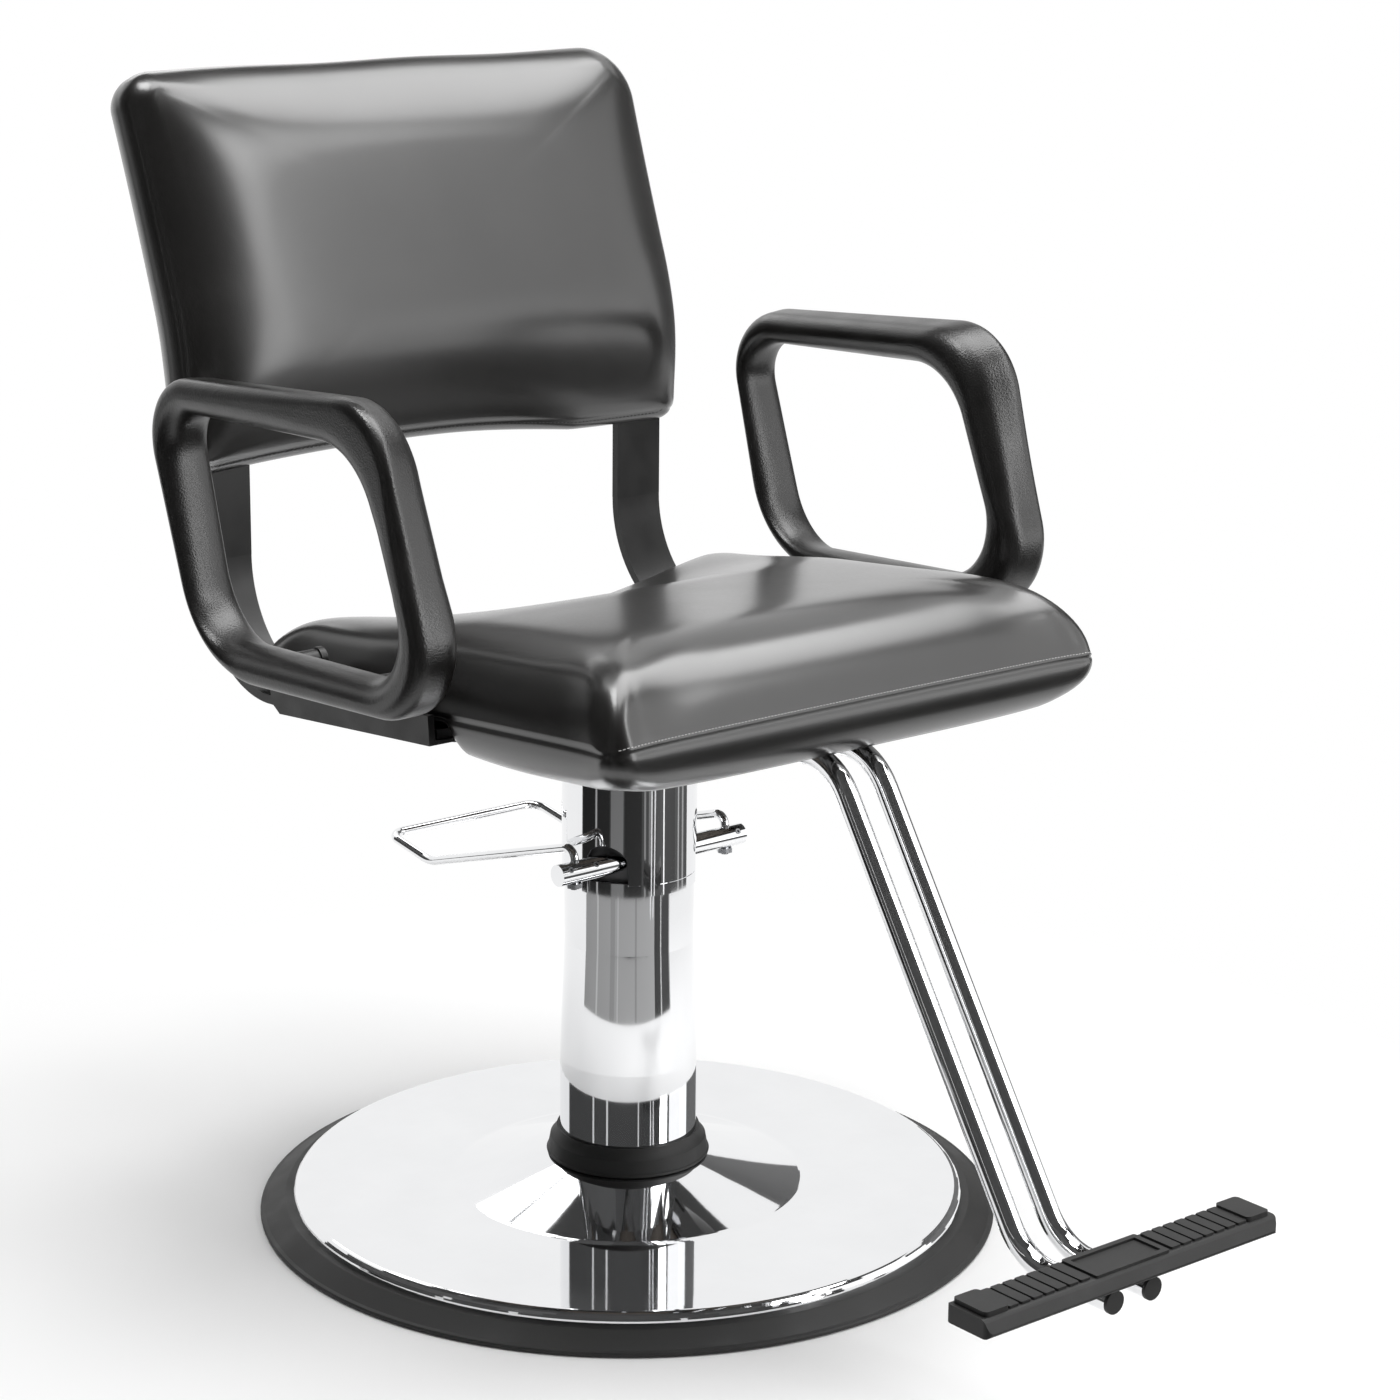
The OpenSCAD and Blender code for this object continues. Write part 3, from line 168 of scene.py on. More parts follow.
def makeVinyl(v):
    mat, tree, shader, where = newMaterial("satinVinyl")
    cloud = noiseAt(tree, where, *v["cloud"])
    fine = noiseAt(tree, where, *v["fine"])
    grain = cellsAt(tree, where, v["grain"])
    tree.links.new(twoTone(tree, cloud, 0.35, 0.65, v["dark"], v["light"]), shader.inputs["Base Color"])
    tree.links.new(rangeOf(tree, added(tree, cloud, fine, 0.35), 0.4, 0.9, v["low"], v["high"]),
                   shader.inputs["Roughness"])
    shader.inputs["Specular IOR Level"].default_value = v["specular"]
    shader.inputs["Coat Weight"].default_value = v["coat"]
    shader.inputs["Coat Roughness"].default_value = v["coatRough"]
    raised(tree, shader, added(tree, grain, fine, 0.8), v["bump"], v["grainDepth"])
    return mat


# bright chrome plate: near mirror with faint polishing haze
chromeLook = {
    "tint": (0.86, 0.865, 0.875), "shade": (0.83, 0.835, 0.845), "low": 0.03, "high": 0.05,
    "bump": 0.012, "grainDepth": 0.0005, "haze": (14.0, 5.0), "smear": (60.0, 3.0),
}


def makeChrome(name, v, streak=(1.0, 1.0, 1.0)):
    mat, tree, shader, where = newMaterial(name)
    along = stretched(tree, where, streak)
    haze = noiseAt(tree, along, *v["haze"])
    smear = noiseAt(tree, along, *v["smear"])
    shader.inputs["Metallic"].default_value = 1.0
    tree.links.new(twoTone(tree, haze, 0.3, 0.7, v["shade"], v["tint"]), shader.inputs["Base Color"])
    tree.links.new(rangeOf(tree, added(tree, haze, smear, 0.4), 0.45, 0.95, v["low"], v["high"]),
                   shader.inputs["Roughness"])
    raised(tree, shader, smear, v["bump"], v["grainDepth"])
    return mat


# moulded urethane with a fine leathery pebble
urethaneLook = {
    "dark": (0.0055, 0.0051, 0.0048), "light": (0.0085, 0.0079, 0.0075), "low": 0.28, "high": 0.36,
    "specular": 0.75, "bump": 0.32, "grainDepth": 0.0004,
    "cloud": (30.0, 4.0), "fine": (700.0, 2.0), "pebble": 620.0,
}


def makeUrethane(v):
    mat, tree, shader, where = newMaterial("mouldedUrethane")
    cloud = noiseAt(tree, where, *v["cloud"])
    fine = noiseAt(tree, where, *v["fine"])
    pebble = cellsAt(tree, where, v["pebble"])
    tree.links.new(twoTone(tree, cloud, 0.3, 0.7, v["dark"], v["light"]), shader.inputs["Base Color"])
    tree.links.new(rangeOf(tree, cloud, 0.35, 0.7, v["low"], v["high"]), shader.inputs["Roughness"])
    shader.inputs["Specular IOR Level"].default_value = v["specular"]
    raised(tree, shader, added(tree, pebble, fine, 0.5), v["bump"], v["grainDepth"])
    return mat


# plain black rubber, a little dusty
rubberLook = {
    "dark": (0.011, 0.011, 0.011), "dust": (0.022, 0.0215, 0.021), "low": 0.48, "high": 0.64,
    "bump": 0.10, "grainDepth": 0.0003, "cloud": (22.0, 6.0), "fine": (500.0, 2.0),
}


def makeRubber(v):
    mat, tree, shader, where = newMaterial("blackRubber")
    cloud = noiseAt(tree, where, *v["cloud"])
    fine = noiseAt(tree, where, *v["fine"])
    tree.links.new(twoTone(tree, cloud, 0.42, 0.72, v["dark"], v["dust"]), shader.inputs["Base Color"])
    tree.links.new(rangeOf(tree, cloud, 0.3, 0.7, v["low"], v["high"]), shader.inputs["Roughness"])
    raised(tree, shader, fine, v["bump"], v["grainDepth"])
    return mat


# powder coat on the bars and plates
coatLook = {
    "dark": (0.006, 0.0058, 0.0056), "light": (0.011, 0.0106, 0.0103), "low": 0.34, "high": 0.46,
    "bump": 0.14, "grainDepth": 0.0003, "cloud": (40.0, 3.0), "peel": (420.0, 1.0),
}


def makeCoat(v):
    mat, tree, shader, where = newMaterial("blackPowderCoat")
    cloud = noiseAt(tree, where, *v["cloud"])
    peel = noiseAt(tree, where, *v["peel"])
    tree.links.new(twoTone(tree, cloud, 0.35, 0.7, v["dark"], v["light"]), shader.inputs["Base Color"])
    tree.links.new(rangeOf(tree, cloud, 0.3, 0.7, v["low"], v["high"]), shader.inputs["Roughness"])
    raised(tree, shader, peel, v["bump"], v["grainDepth"])
    return mat


# metals of the pump and the fasteners: zinc plate, raw iron and bearing bronze
steelLook = {
    "dark": (0.46, 0.47, 0.49), "light": (0.62, 0.63, 0.65), "low": 0.22, "high": 0.38,
    "bump": 0.05, "grainDepth": 0.0004, "cloud": (55.0, 5.0), "fine": (770.0, 2.0),
}
ironLook = {
    "dark": (0.12, 0.12, 0.125), "light": (0.2, 0.2, 0.205), "low": 0.5, "high": 0.7,
    "bump": 0.3, "grainDepth": 0.0004, "cloud": (35.0, 5.0), "fine": (490.0, 2.0),
}
bronzeLook = {
    "dark": (0.48, 0.3, 0.13), "light": (0.62, 0.41, 0.19), "low": 0.3, "high": 0.45,
    "bump": 0.08, "grainDepth": 0.0004, "cloud": (40.0, 5.0), "fine": (560.0, 2.0),
}


def makeMetal(name, v):
    mat, tree, shader, where = newMaterial(name)
    cloud = noiseAt(tree, where, *v["cloud"])
    fine = noiseAt(tree, where, *v["fine"])
    shader.inputs["Metallic"].default_value = 1.0
    tree.links.new(twoTone(tree, cloud, 0.3, 0.7, v["dark"], v["light"]), shader.inputs["Base Color"])
    tree.links.new(rangeOf(tree, cloud, 0.3, 0.7, v["low"], v["high"]), shader.inputs["Roughness"])
    raised(tree, shader, fine, v["bump"], v["grainDepth"])
    return mat


# dark sealed plywood: long grain with darker lines
plywoodLook = {
    "dark": (0.050, 0.040, 0.032), "light": (0.085, 0.070, 0.057), "rough": 0.62,
    "bump": 0.15, "grainDepth": 0.0005, "stretch": (3.0, 40.0, 40.0), "grain": (3.0, 6.0),
}


def makePlywood(v):
    mat, tree, shader, where = newMaterial("sealedPlywood")
    grain = noiseAt(tree, stretched(tree, where, v["stretch"]), *v["grain"])
    tree.links.new(twoTone(tree, grain, 0.3, 0.7, v["dark"], v["light"]), shader.inputs["Base Color"])
    shader.inputs["Roughness"].default_value = v["rough"]
    raised(tree, shader, grain, v["bump"], v["grainDepth"])
    return mat


# stitching thread, black on the back and grey on the seat
threadLook = {"twist": (1500.0, 1.0), "rough": 0.55, "bump": 0.3, "grainDepth": 0.0002}
blackTones = {"dark": (0.03, 0.03, 0.03), "light": (0.06, 0.06, 0.058)}
greyTones = {"dark": (0.34, 0.335, 0.33), "light": (0.46, 0.455, 0.45)}


def makeThread(name, v, tones):
    mat, tree, shader, where = newMaterial(name)
    twist = noiseAt(tree, where, *v["twist"])
    tree.links.new(twoTone(tree, twist, 0.3, 0.7, tones["dark"], tones["light"]), shader.inputs["Base Color"])
    shader.inputs["Roughness"].default_value = v["rough"]
    raised(tree, shader, twist, v["bump"], v["grainDepth"])
    return mat


vinyl = makeVinyl(vinylLook)
chrome = makeChrome("brightChrome", chromeLook)
columnChrome = makeChrome("columnChrome", chromeLook, (1.0, 1.0, 0.06))
urethane = makeUrethane(urethaneLook)
rubber = makeRubber(rubberLook)
coat = makeCoat(coatLook)
thread = makeThread("blackThread", threadLook, blackTones)
paleThread = makeThread("greyThread", threadLook, greyTones)
finishOf = {
    "chrome": chrome,
    "vinyl": vinyl,
    "urethane": urethane,
    "rubber": rubber,
    "black_steel": coat,
    "steel": makeMetal("zincSteel", steelLook),
    "iron": makeMetal("rawIron", ironLook),
    "bronze": makeMetal("bearingBronze", bronzeLook),
    "plywood": makePlywood(plywoodLook),
}
slotOf = {s["node"]: s["material_slot"] for s in record["subparts"]}
ownFinish = {"column_tube": columnChrome, "column_sleeve": columnChrome, "arm_bolts": coat}
for nodeName, obj in nodes.items():
    obj.data.materials.clear()
    obj.data.materials.append(ownFinish.get(nodeName, finishOf[slotOf[nodeName]]))
print("materials:", len(bpy.data.materials))


# mesh helpers
def meshObject(name, points, faces, material):
    mesh = bpy.data.meshes.new(name)
    mesh.from_pydata(np.asarray(points, float).reshape(-1, 3).tolist(), [], [list(f) for f in faces])
    mesh.update()
    mesh.polygons.foreach_set("use_smooth", np.ones(len(mesh.polygons), bool))
    mesh.materials.append(material)
    obj = bpy.data.objects.new(name, mesh)
    bpy.context.scene.collection.objects.link(obj)
    return obj


def gridFaces(rows, cols, wrapRows=False, wrapCols=False, start=0):
    # quads between neighbours of a rows by cols grid, wrapping round where asked
    index = start + np.arange(rows * cols).reshape(rows, cols)
    right = np.roll(index, -1, 1) if wrapCols else index[:, 1:]
    here = index if wrapCols else index[:, :-1]
    below, belowRight = (np.roll(here, -1, 0), np.roll(right, -1, 0)) if wrapRows else (here[1:], right[1:])
    if not wrapRows:
        here, right = here[:-1], right[:-1]
    return np.stack([here, right, belowRight, below], -1).reshape(-1, 4)


def capIndex(n, start=0):
    # boundary of an n by n grid in order round it
    index = start + np.arange(n * n).reshape(n, n)
    return np.concatenate([index[0, :-1], index[:-1, -1], index[-1, :0:-1], index[:0:-1, 0]])


def padMesh(name, top, sides, under, material):
    # closed pad: a square grid on top, rows down its sides, and a square grid under it
    n = top.shape[0]
    m = len(sides)
    rim = 4 * (n - 1)
    points = np.concatenate([top.reshape(-1, 3), sides.reshape(-1, 3), under.reshape(-1, 3)])
    sideStart = n * n
    underStart = sideStart + m * rim
    loops = np.concatenate([capIndex(n)[None], sideStart + np.arange(m * rim).reshape(m, rim),
                            capIndex(n, underStart)[None]])
    nxt = np.roll(loops, -1, 1)
    walls = np.stack([loops[:-1], loops[1:], nxt[1:], nxt[:-1]], -1).reshape(-1, 4)
    topFaces = gridFaces(n, n)
    underFaces = gridFaces(n, n, start=underStart)[:, ::-1]
    return meshObject(name, points, np.concatenate([topFaces, walls, underFaces]).tolist(), material)


def easing(t):
    # three t squared less two t cubed, level outside nought and one
    t = np.clip(t, 0, 1)
    return t * t * (3 - 2 * t)


def unit(v):
    return v / np.linalg.norm(v, axis=-1, keepdims=True)


def squareGrid(n, power=1.35):
    # n by n values from -1 to 1 each way, closer together near the rim
    t = np.linspace(-1, 1, n)
    t = np.sign(t) * (1 - (1 - np.abs(t)) ** power)
    return np.meshgrid(t, t)


def roundedPlan(u, v, halfW, halfL, corner):
    # square of side two carried onto a rectangle with round corners, each ring a scaled copy of the rim
    m = np.maximum(np.abs(u), np.abs(v))
    safe = np.where(m > 1e-9, m, 1)
    x, y = u / safe * halfW, v / safe * halfL
    overX, overY = np.abs(x) - (halfW - corner), np.abs(y) - (halfL - corner)
    inCorner = (overX > 0) & (overY > 0)
    length = np.hypot(overX, overY)
    pull = np.where(inCorner & (length > 1e-9), corner / np.where(length > 1e-9, length, 1), 1)
    bx = np.where(inCorner, np.sign(x) * (halfW - corner + overX * pull), x)
    by = np.where(inCorner, np.sign(y) * (halfL - corner + overY * pull), y)
    return bx * m, by * m


def rimDistance(x, y, halfW, halfL, corner, soft):
    # how far a point lies inside the rounded rectangle, eased where the distances to two sides are alike:
    # the soft-th root of the sum of both distances to the power minus soft, near the rim the plain distance
    qx, qy = np.abs(x) - (halfW - corner), np.abs(y) - (halfL - corner)
    outside = np.hypot(np.maximum(qx, 0), np.maximum(qy, 0))
    plain = np.maximum(corner - outside - np.minimum(np.maximum(qx, qy), 0), 0)
    dx, dy = np.maximum(halfW - np.abs(x), 1e-5), np.maximum(halfL - np.abs(y), 1e-5)
    eased = (dx ** -soft + dy ** -soft) ** (-1 / soft)
    nearRim = 0.012
    return np.minimum(plain, eased + plain * np.exp(-(plain / nearRim) ** 2))


def smoothProfile(x, xs, ys):
    # monotone cubic through a few points (slopes limited so that it never overshoots)
    xs, ys = np.asarray(xs, float), np.asarray(ys, float)
    h = np.diff(xs)
    delta = np.diff(ys) / h
    slope = np.zeros_like(xs)
    before, after = delta[:-1], delta[1:]
    slope[1:-1] = np.where(before * after > 0, 2 * before * after / (before + after + 1e-12), 0)
    slope[0], slope[-1] = delta[0], delta[-1]
    i = np.clip(np.searchsorted(xs, x, side="right") - 1, 0, len(h) - 1)
    t = np.clip((x - xs[i]) / h[i], 0, 1)
    return ((2 * t ** 3 - 3 * t ** 2 + 1) * ys[i] + (t ** 3 - 2 * t ** 2 + t) * h[i] * slope[i]
            + (-2 * t ** 3 + 3 * t ** 2) * ys[i + 1] + (t ** 3 - t ** 2) * h[i] * slope[i + 1])


def stitchRow(name, path, outward, v, material):
    # short thread loops along a path: each a spindle of three rings and two tips, half sunk in the cover
    step = np.concatenate([[0], np.cumsum(np.linalg.norm(np.diff(path, axis=0), axis=1))])
    at = np.arange(v["pitch"] / 2, step[-1], v["pitch"])
    place = np.stack([np.interp(at, step, path[:, k]) for k in range(3)], -1)
    along = unit(np.stack([np.interp(at, step, np.gradient(path[:, k], step)) for k in range(3)], -1))
    up = unit(np.stack([np.interp(at, step, outward[:, k]) for k in range(3)], -1))
    across = np.cross(along, up)
    around = 6
    turn = np.linspace(0, 2 * np.pi, around, endpoint=False)
    ringAt, ringSize = np.repeat([-0.6, 0.0, 0.6], around), np.repeat([0.75, 1.0, 0.75], around)
    a = np.concatenate([[-1], ringAt, [1]]) * v["length"] / 2
    h = np.concatenate([[0], ringSize * np.tile(np.cos(turn), 3), [0]]) * v["height"]
    w = np.concatenate([[0], ringSize * np.tile(np.sin(turn), 3), [0]]) * v["width"] / 2
    points = place[:, None] + along[:, None] * a[:, None] + up[:, None] * h[:, None] + across[:, None] * w[:, None]
    ring = np.arange(around)
    nextUp = (ring + 1) % around
    one, two, three = 1, 1 + around, 1 + 2 * around
    tips = np.concatenate([np.stack([0 * ring, one + ring, one + nextUp], -1),
                           np.stack([0 * ring + len(a) - 1, three + nextUp, three + ring], -1)])
    walls = np.concatenate([np.stack([one + ring, two + ring, two + nextUp, one + nextUp], -1),
                            np.stack([two + ring, three + ring, three + nextUp, two + nextUp], -1)])
    shift = len(a) * np.arange(len(at))[:, None, None]
    faces = (tips[None] + shift).reshape(-1, 3).tolist() + (walls[None] + shift).reshape(-1, 4).tolist()
    return meshObject(name, points, faces, material)


# cover cloth: stiffness of the vinyl, air inside it, and how long it settles
clothLook = {
    "quality": 6, "mass": 0.25, "damping": 4.0, "stretch": 18.0, "shear": 8.0, "bend": 10.0,
    "pressure": 4.0, "frames": 20, "heldRows": 2, "passes": 4,
}


def settled(points, swell, c=clothLook):
    # cloth settle of one panel: every second point of its grid becomes a sheet held at the seam, filled from
    # inside with gravity off; its moves, smoothed and levelled off at the swell, go back on the full grid
    coarse = points[::2, ::2]
    n = coarse.shape[0]
    sheet = meshObject("settleSheet", coarse, gridFaces(n, n), vinyl)
    index = np.arange(n * n).reshape(n, n)
    held = sheet.vertex_groups.new(name="held")
    rim = np.ones((n, n), bool)
    rim[c["heldRows"]:-c["heldRows"], c["heldRows"]:-c["heldRows"]] = False
    held.add(index[rim].tolist(), 1.0, "REPLACE")
    cloth = sheet.modifiers.new("settle", "CLOTH")
    how = cloth.settings
    how.quality, how.mass, how.air_damping = c["quality"], c["mass"], c["damping"]
    how.tension_stiffness = how.compression_stiffness = c["stretch"]
    how.shear_stiffness, how.bending_stiffness = c["shear"], c["bend"]
    how.vertex_group_mass = "held"
    how.pin_stiffness = 1.0
    how.use_pressure = True
    how.uniform_pressure_force = c["pressure"]
    how.effector_weights.gravity = 0.0
    cloth.collision_settings.use_collision = False
    cloth.collision_settings.use_self_collision = False
    cloth.point_cache.frame_start, cloth.point_cache.frame_end = 1, c["frames"]
    scene = bpy.context.scene
    for at in range(1, c["frames"] + 1):
        scene.frame_set(at)
    final = sheet.evaluated_get(bpy.context.evaluated_depsgraph_get())
    moved = np.empty(n * n * 3)
    final.data.vertices.foreach_get("co", moved)
    shift = moved.reshape(n, n, 3) - coarse
    scene.frame_set(1)
    bpy.data.objects.remove(sheet, do_unlink=True)
    for _ in range(c["passes"]):
        wide = np.pad(shift, ((1, 1), (1, 1), (0, 0)), "edge")
        shift = sum(wide[i:i + n, j:j + n] for i in range(3) for j in range(3)) / 9
        shift[rim] = 0
    size = np.linalg.norm(shift, axis=-1, keepdims=True)
    shift = shift * swell * np.tanh(size / swell) / np.maximum(size, 1e-9)
    full = np.zeros_like(points)
    full[::2, ::2] = shift
    full[1::2, ::2] = (shift[:-1] + shift[1:]) / 2
    full[:, 1::2] = (full[:, :-1:2] + full[:, 2::2]) / 2
    kept = np.linalg.norm(full, axis=-1).max()
    print("settled: largest move %.1f mm, kept %.1f mm" % (size.max() * 1000, kept * 1000))
    return points + full


def onChair(piece):
    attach(piece, "chair")


# seat pad: crowned top panel with a hollow at the rear, sewn seam, boxing that tucks under, deeper roll in front
seat = {
    "tilt": 5.3, "height": 0.5028, "halfW": 0.259, "front": -0.311, "rear": 0.205, "grid": 141, "sideRows": 14,
    "corner": 0.021, "puffCorner": 0.031, "footCorner": 0.034, "seamSoft": 2.5,
    "earRun": 0.012, "earShare": 0.4, "earBlend": 0.5, "earDrop": 0.003,
    "crown": 0.0635, "swell": 0.0045, "crownRun": 0.164, "crownPower": 7.0, "sideEase": 1.6,
    "dish": 0.039, "dishFrom": -0.056, "dishRun": 0.190, "dishSpan": 0.300,
    "bulge": 0.0035, "bulgeWidth": 0.07, "bulgeRun": 0.16, "bulgeInset": 0.012,
    "drawIn": 0.004, "flare": (0.005, 0.0025), "flarePower": 14,
    "pucker": 0.0012, "pleatRun": 0.05, "pleatAngles": (27, 63), "pleatWidth": 9, "pleatFade": 0.022,
    "pleatStart": 0.003, "pleatPower": 1.5, "lip": 0.0430, "lipFrom": 0.265, "lipRun": 0.045, "lipPower": 5,
    "depthAt": [-0.206, -0.170, 0.079, 0.097, 0.20, 0.262, 0.295, 0.312],
    "rearDepths": [0.004, 0.0117, 0.0118, 0.034], "frontDepth": 0.0385,
    "groove": 0.0016, "grooveRun": 0.07, "belly": 0.0030, "bellyDepth": 0.03, "tuck": 0.021,
    "rowPower": 1.25, "tuckPower": 1.9, "dropPower": 1.2,
    "boardHalfW": 0.2323, "boardFront": -0.2703, "boardRear": 0.1703, "boardCorner": 0.024, "boardGap": 0.0004,
}


def fromSeat(points, s):
    # seat frame to the chair's frame: turned about X by the seat's tilt and lifted
    c, k = np.cos(np.radians(s["tilt"])), np.sin(np.radians(s["tilt"]))
    x, y, z = np.moveaxis(points, -1, 0)
    return np.stack([x, y * c + z * k, s["height"] - y * k + z * c], -1)


def seatDepth(x, y, s):
    # depth of the boxing below the seam: level with the board, deeper in front of the side plates,
    # shallow over the bend of the bars, and a little fuller in the middle of the front
    along = smoothProfile(-y, s["depthAt"], s["rearDepths"] + [s["frontDepth"]] * 4)
    front = easing((-y - s["lipFrom"]) / s["lipRun"]) * (1 - np.abs(x / s["halfW"]) ** s["lipPower"])
    return along + (s["lip"] - s["frontDepth"]) * front


def drawnIn(x, y, s, mid, halfL):
    # the sides pull in between the corners, by one less the square of the place along the side
    px = 1 - s["drawIn"] / s["halfW"] * (1 - ((y - mid) / halfL) ** 2)
    py = 1 - s["drawIn"] / halfL * (1 - (x / s["halfW"]) ** 2)
    return x * px, mid + (y - mid) * py


def puffDistance(x, y, s, halfL):
    # distance inside the seam whose every contour turns its corners on one radius: half of (a + b + the root of
    # twice the radius squared less (a - b) squared) less the radius, a and b being the distances to two sides,
    # of which the one across is stretched, so that the sides are steeper than the front and rear;
    # at the corner's tip a share of the seam's own distance takes over, so that the panel starts there as a low ear
    seam = rimDistance(x, y, s["halfW"], halfL, s["corner"], s["seamSoft"])
    tip = s["earRun"] * (1 - np.exp(-seam / s["earRun"]))
    a, b, r = s["sideEase"] * (s["halfW"] - np.abs(x)), halfL - np.abs(y), s["puffCorner"]
    apart = np.clip(np.abs(a - b), 0, r)
    turned = np.where(np.abs(a - b) < r, (a + b + np.sqrt(2 * r * r - apart ** 2)) / 2 - r, np.minimum(a, b))
    ear = s["earShare"] * tip
    return np.maximum(turned + ear + np.sqrt((turned - ear) ** 2 + (s["earBlend"] * tip) ** 2), 0) / 2 * (seam > 1e-6)


def seatTopPanel(s, mid, halfL):
    # height is the crown less the hollow, times a share that climbs from the rim as one less a power of what is left
    u, v = squareGrid(s["grid"])
    x, y = roundedPlan(u, v, s["halfW"], halfL, s["corner"])
    inset = puffDistance(x, y, s, halfL)
    share = 1 - (1 - np.clip(inset / s["crownRun"], 0, 1)) ** s["crownPower"]
    hollow = (s["dish"] * easing((y + mid - s["dishFrom"]) / s["dishRun"])
              * np.maximum(0, 1 - (x / s["dishSpan"]) ** 2) ** 2)
    px, py = drawnIn(x, y + mid, s, mid, halfL)
    # the filling pushes the panel out over the seam at the corners
    a, b = s["halfW"] - np.abs(x), halfL - np.abs(y)
    climbed = inset / s["bulgeInset"]
    inCorner = easing(1 - np.abs(a - b) / s["bulgeWidth"]) * easing(1 - (a + b) / s["bulgeRun"])
    pushed = s["bulge"] * inCorner * climbed * np.exp(1 - climbed)
    px, py = px + np.sign(x) * pushed, py + np.sign(y) * pushed
    atCorner = np.abs(x / s["halfW"] * y / halfL) ** s["flarePower"]
    px, py = px + np.sign(x) * s["flare"][0] * atCorner, py + np.sign(y) * s["flare"][1] * atCorner
    # two small pleats at each corner, fading up the panel
    cx, cy = s["pleatRun"] - a, s["pleatRun"] - b
    turn = np.degrees(np.arctan2(np.maximum(cy, 1e-6), np.maximum(cx, 1e-6)))
    near = (cx > 0) & (cy > 0)
    pleat = sum(np.exp(-((turn - angle) / s["pleatWidth"]) ** 2) for angle in s["pleatAngles"]) * near
    fade = np.exp(-(inset / s["pleatFade"]) ** s["pleatPower"]) * (1 - np.exp(-inset / s["pleatStart"]))
    reach = np.hypot(cx, cy) + 1e-9
    px = px - np.sign(x) * s["pucker"] * pleat * fade * cx / reach
    py = py - np.sign(y) * s["pucker"] * pleat * fade * cy / reach
    return np.stack([px, py, share * (s["crown"] - hollow) - s["earDrop"] * atCorner * (y < 0)], -1)


def seatBoxing(ring, s, mid, halfL):
    # rows below the seam: a tucked groove, a slight belly, and a slant in to a foot line with rounder corners;
    # each row is the seam carried towards the foot line by a power of its share of the depth
    u, v = squareGrid(s["grid"])
    rim = capIndex(s["grid"])
    fx, fy = roundedPlan(u, v, s["halfW"] - s["tuck"], halfL - s["tuck"], s["footCorner"])
    foot = np.stack([fx.ravel()[rim], fy.ravel()[rim] + mid], -1)
    along = np.roll(ring, -1, 0) - np.roll(ring, 1, 0)
    out = unit(np.stack([-along[:, 1], along[:, 0]], -1))
    out *= np.sign((out * (ring[:, :2] - [0, mid])).sum(-1, keepdims=True))
    t = (np.linspace(0, 1, s["sideRows"] + 1)[1:, None]) ** s["rowPower"]
    depth = seatDepth(ring[:, 0], ring[:, 1], s)
    belly = s["belly"] * np.sin(np.pi * t) * np.minimum(1, depth / s["bellyDepth"])
    groove = s["groove"] * np.exp(-(t / s["grooveRun"]) ** 2) - belly
    tucked = (t ** s["tuckPower"])[..., None]
    plan = ring[None, :, :2] + (foot - ring[:, :2])[None] * tucked - out[None] * groove[..., None]
    fall = ring[:, 2] * (1 - t) - depth * (1 - (1 - t) ** s["dropPower"])
    return np.concatenate([plan, fall[..., None]], -1)


def seatUnderside(s, mid, halfL):
    # rings from the tucked rim to the board's edge, a wall up round the board, and a flat over it
    u, v = squareGrid(s["grid"])
    m = np.maximum(np.abs(u), np.abs(v))
    safe = np.where(m > 1e-9, m, 1)
    n = s["grid"]
    i = np.abs(np.arange(n) - n // 2)
    ring = n // 2 - np.maximum(i[:, None], i[None])
    inside = s["tuck"] + 0.001
    ax, ay = roundedPlan(u / safe, v / safe, s["halfW"] - inside, halfL - inside, s["footCorner"])
    boardMid, boardHalf = (s["boardFront"] + s["boardRear"]) / 2, (s["boardRear"] - s["boardFront"]) / 2
    bx, by = roundedPlan(u / safe, v / safe, s["boardHalfW"], boardHalf, s["boardCorner"])
    toBoard = np.clip(ring / 2, 0, 1)
    shrink = np.where(ring > 3, m / m[3, n // 2], 1)
    x = (ax + (bx - ax) * toBoard) * shrink
    y = (ay + mid) + (by + boardMid - ay - mid) * toBoard
    y = np.where(ring > 3, boardMid + by * shrink, y)
    z = np.where(ring > 2, s["boardGap"], -seatDepth(x, y, s))
    return np.stack([x, y, z], -1)


def makeSeat(s):
    mid, halfL = (s["front"] + s["rear"]) / 2, (s["rear"] - s["front"]) / 2
    top = settled(seatTopPanel(s, mid, halfL), s["swell"])
    ring = top.reshape(-1, 3)[capIndex(s["grid"])]
    boxing = seatBoxing(ring, s, mid, halfL)
    under = seatUnderside(s, mid, halfL)
    pad = padMesh("seatPad", fromSeat(top, s), fromSeat(boxing, s), fromSeat(under, s), vinyl)
    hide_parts("seat_cushion")
    onChair(pad)
    return top


seatTop = makeSeat(seat)
print("seat pad made")


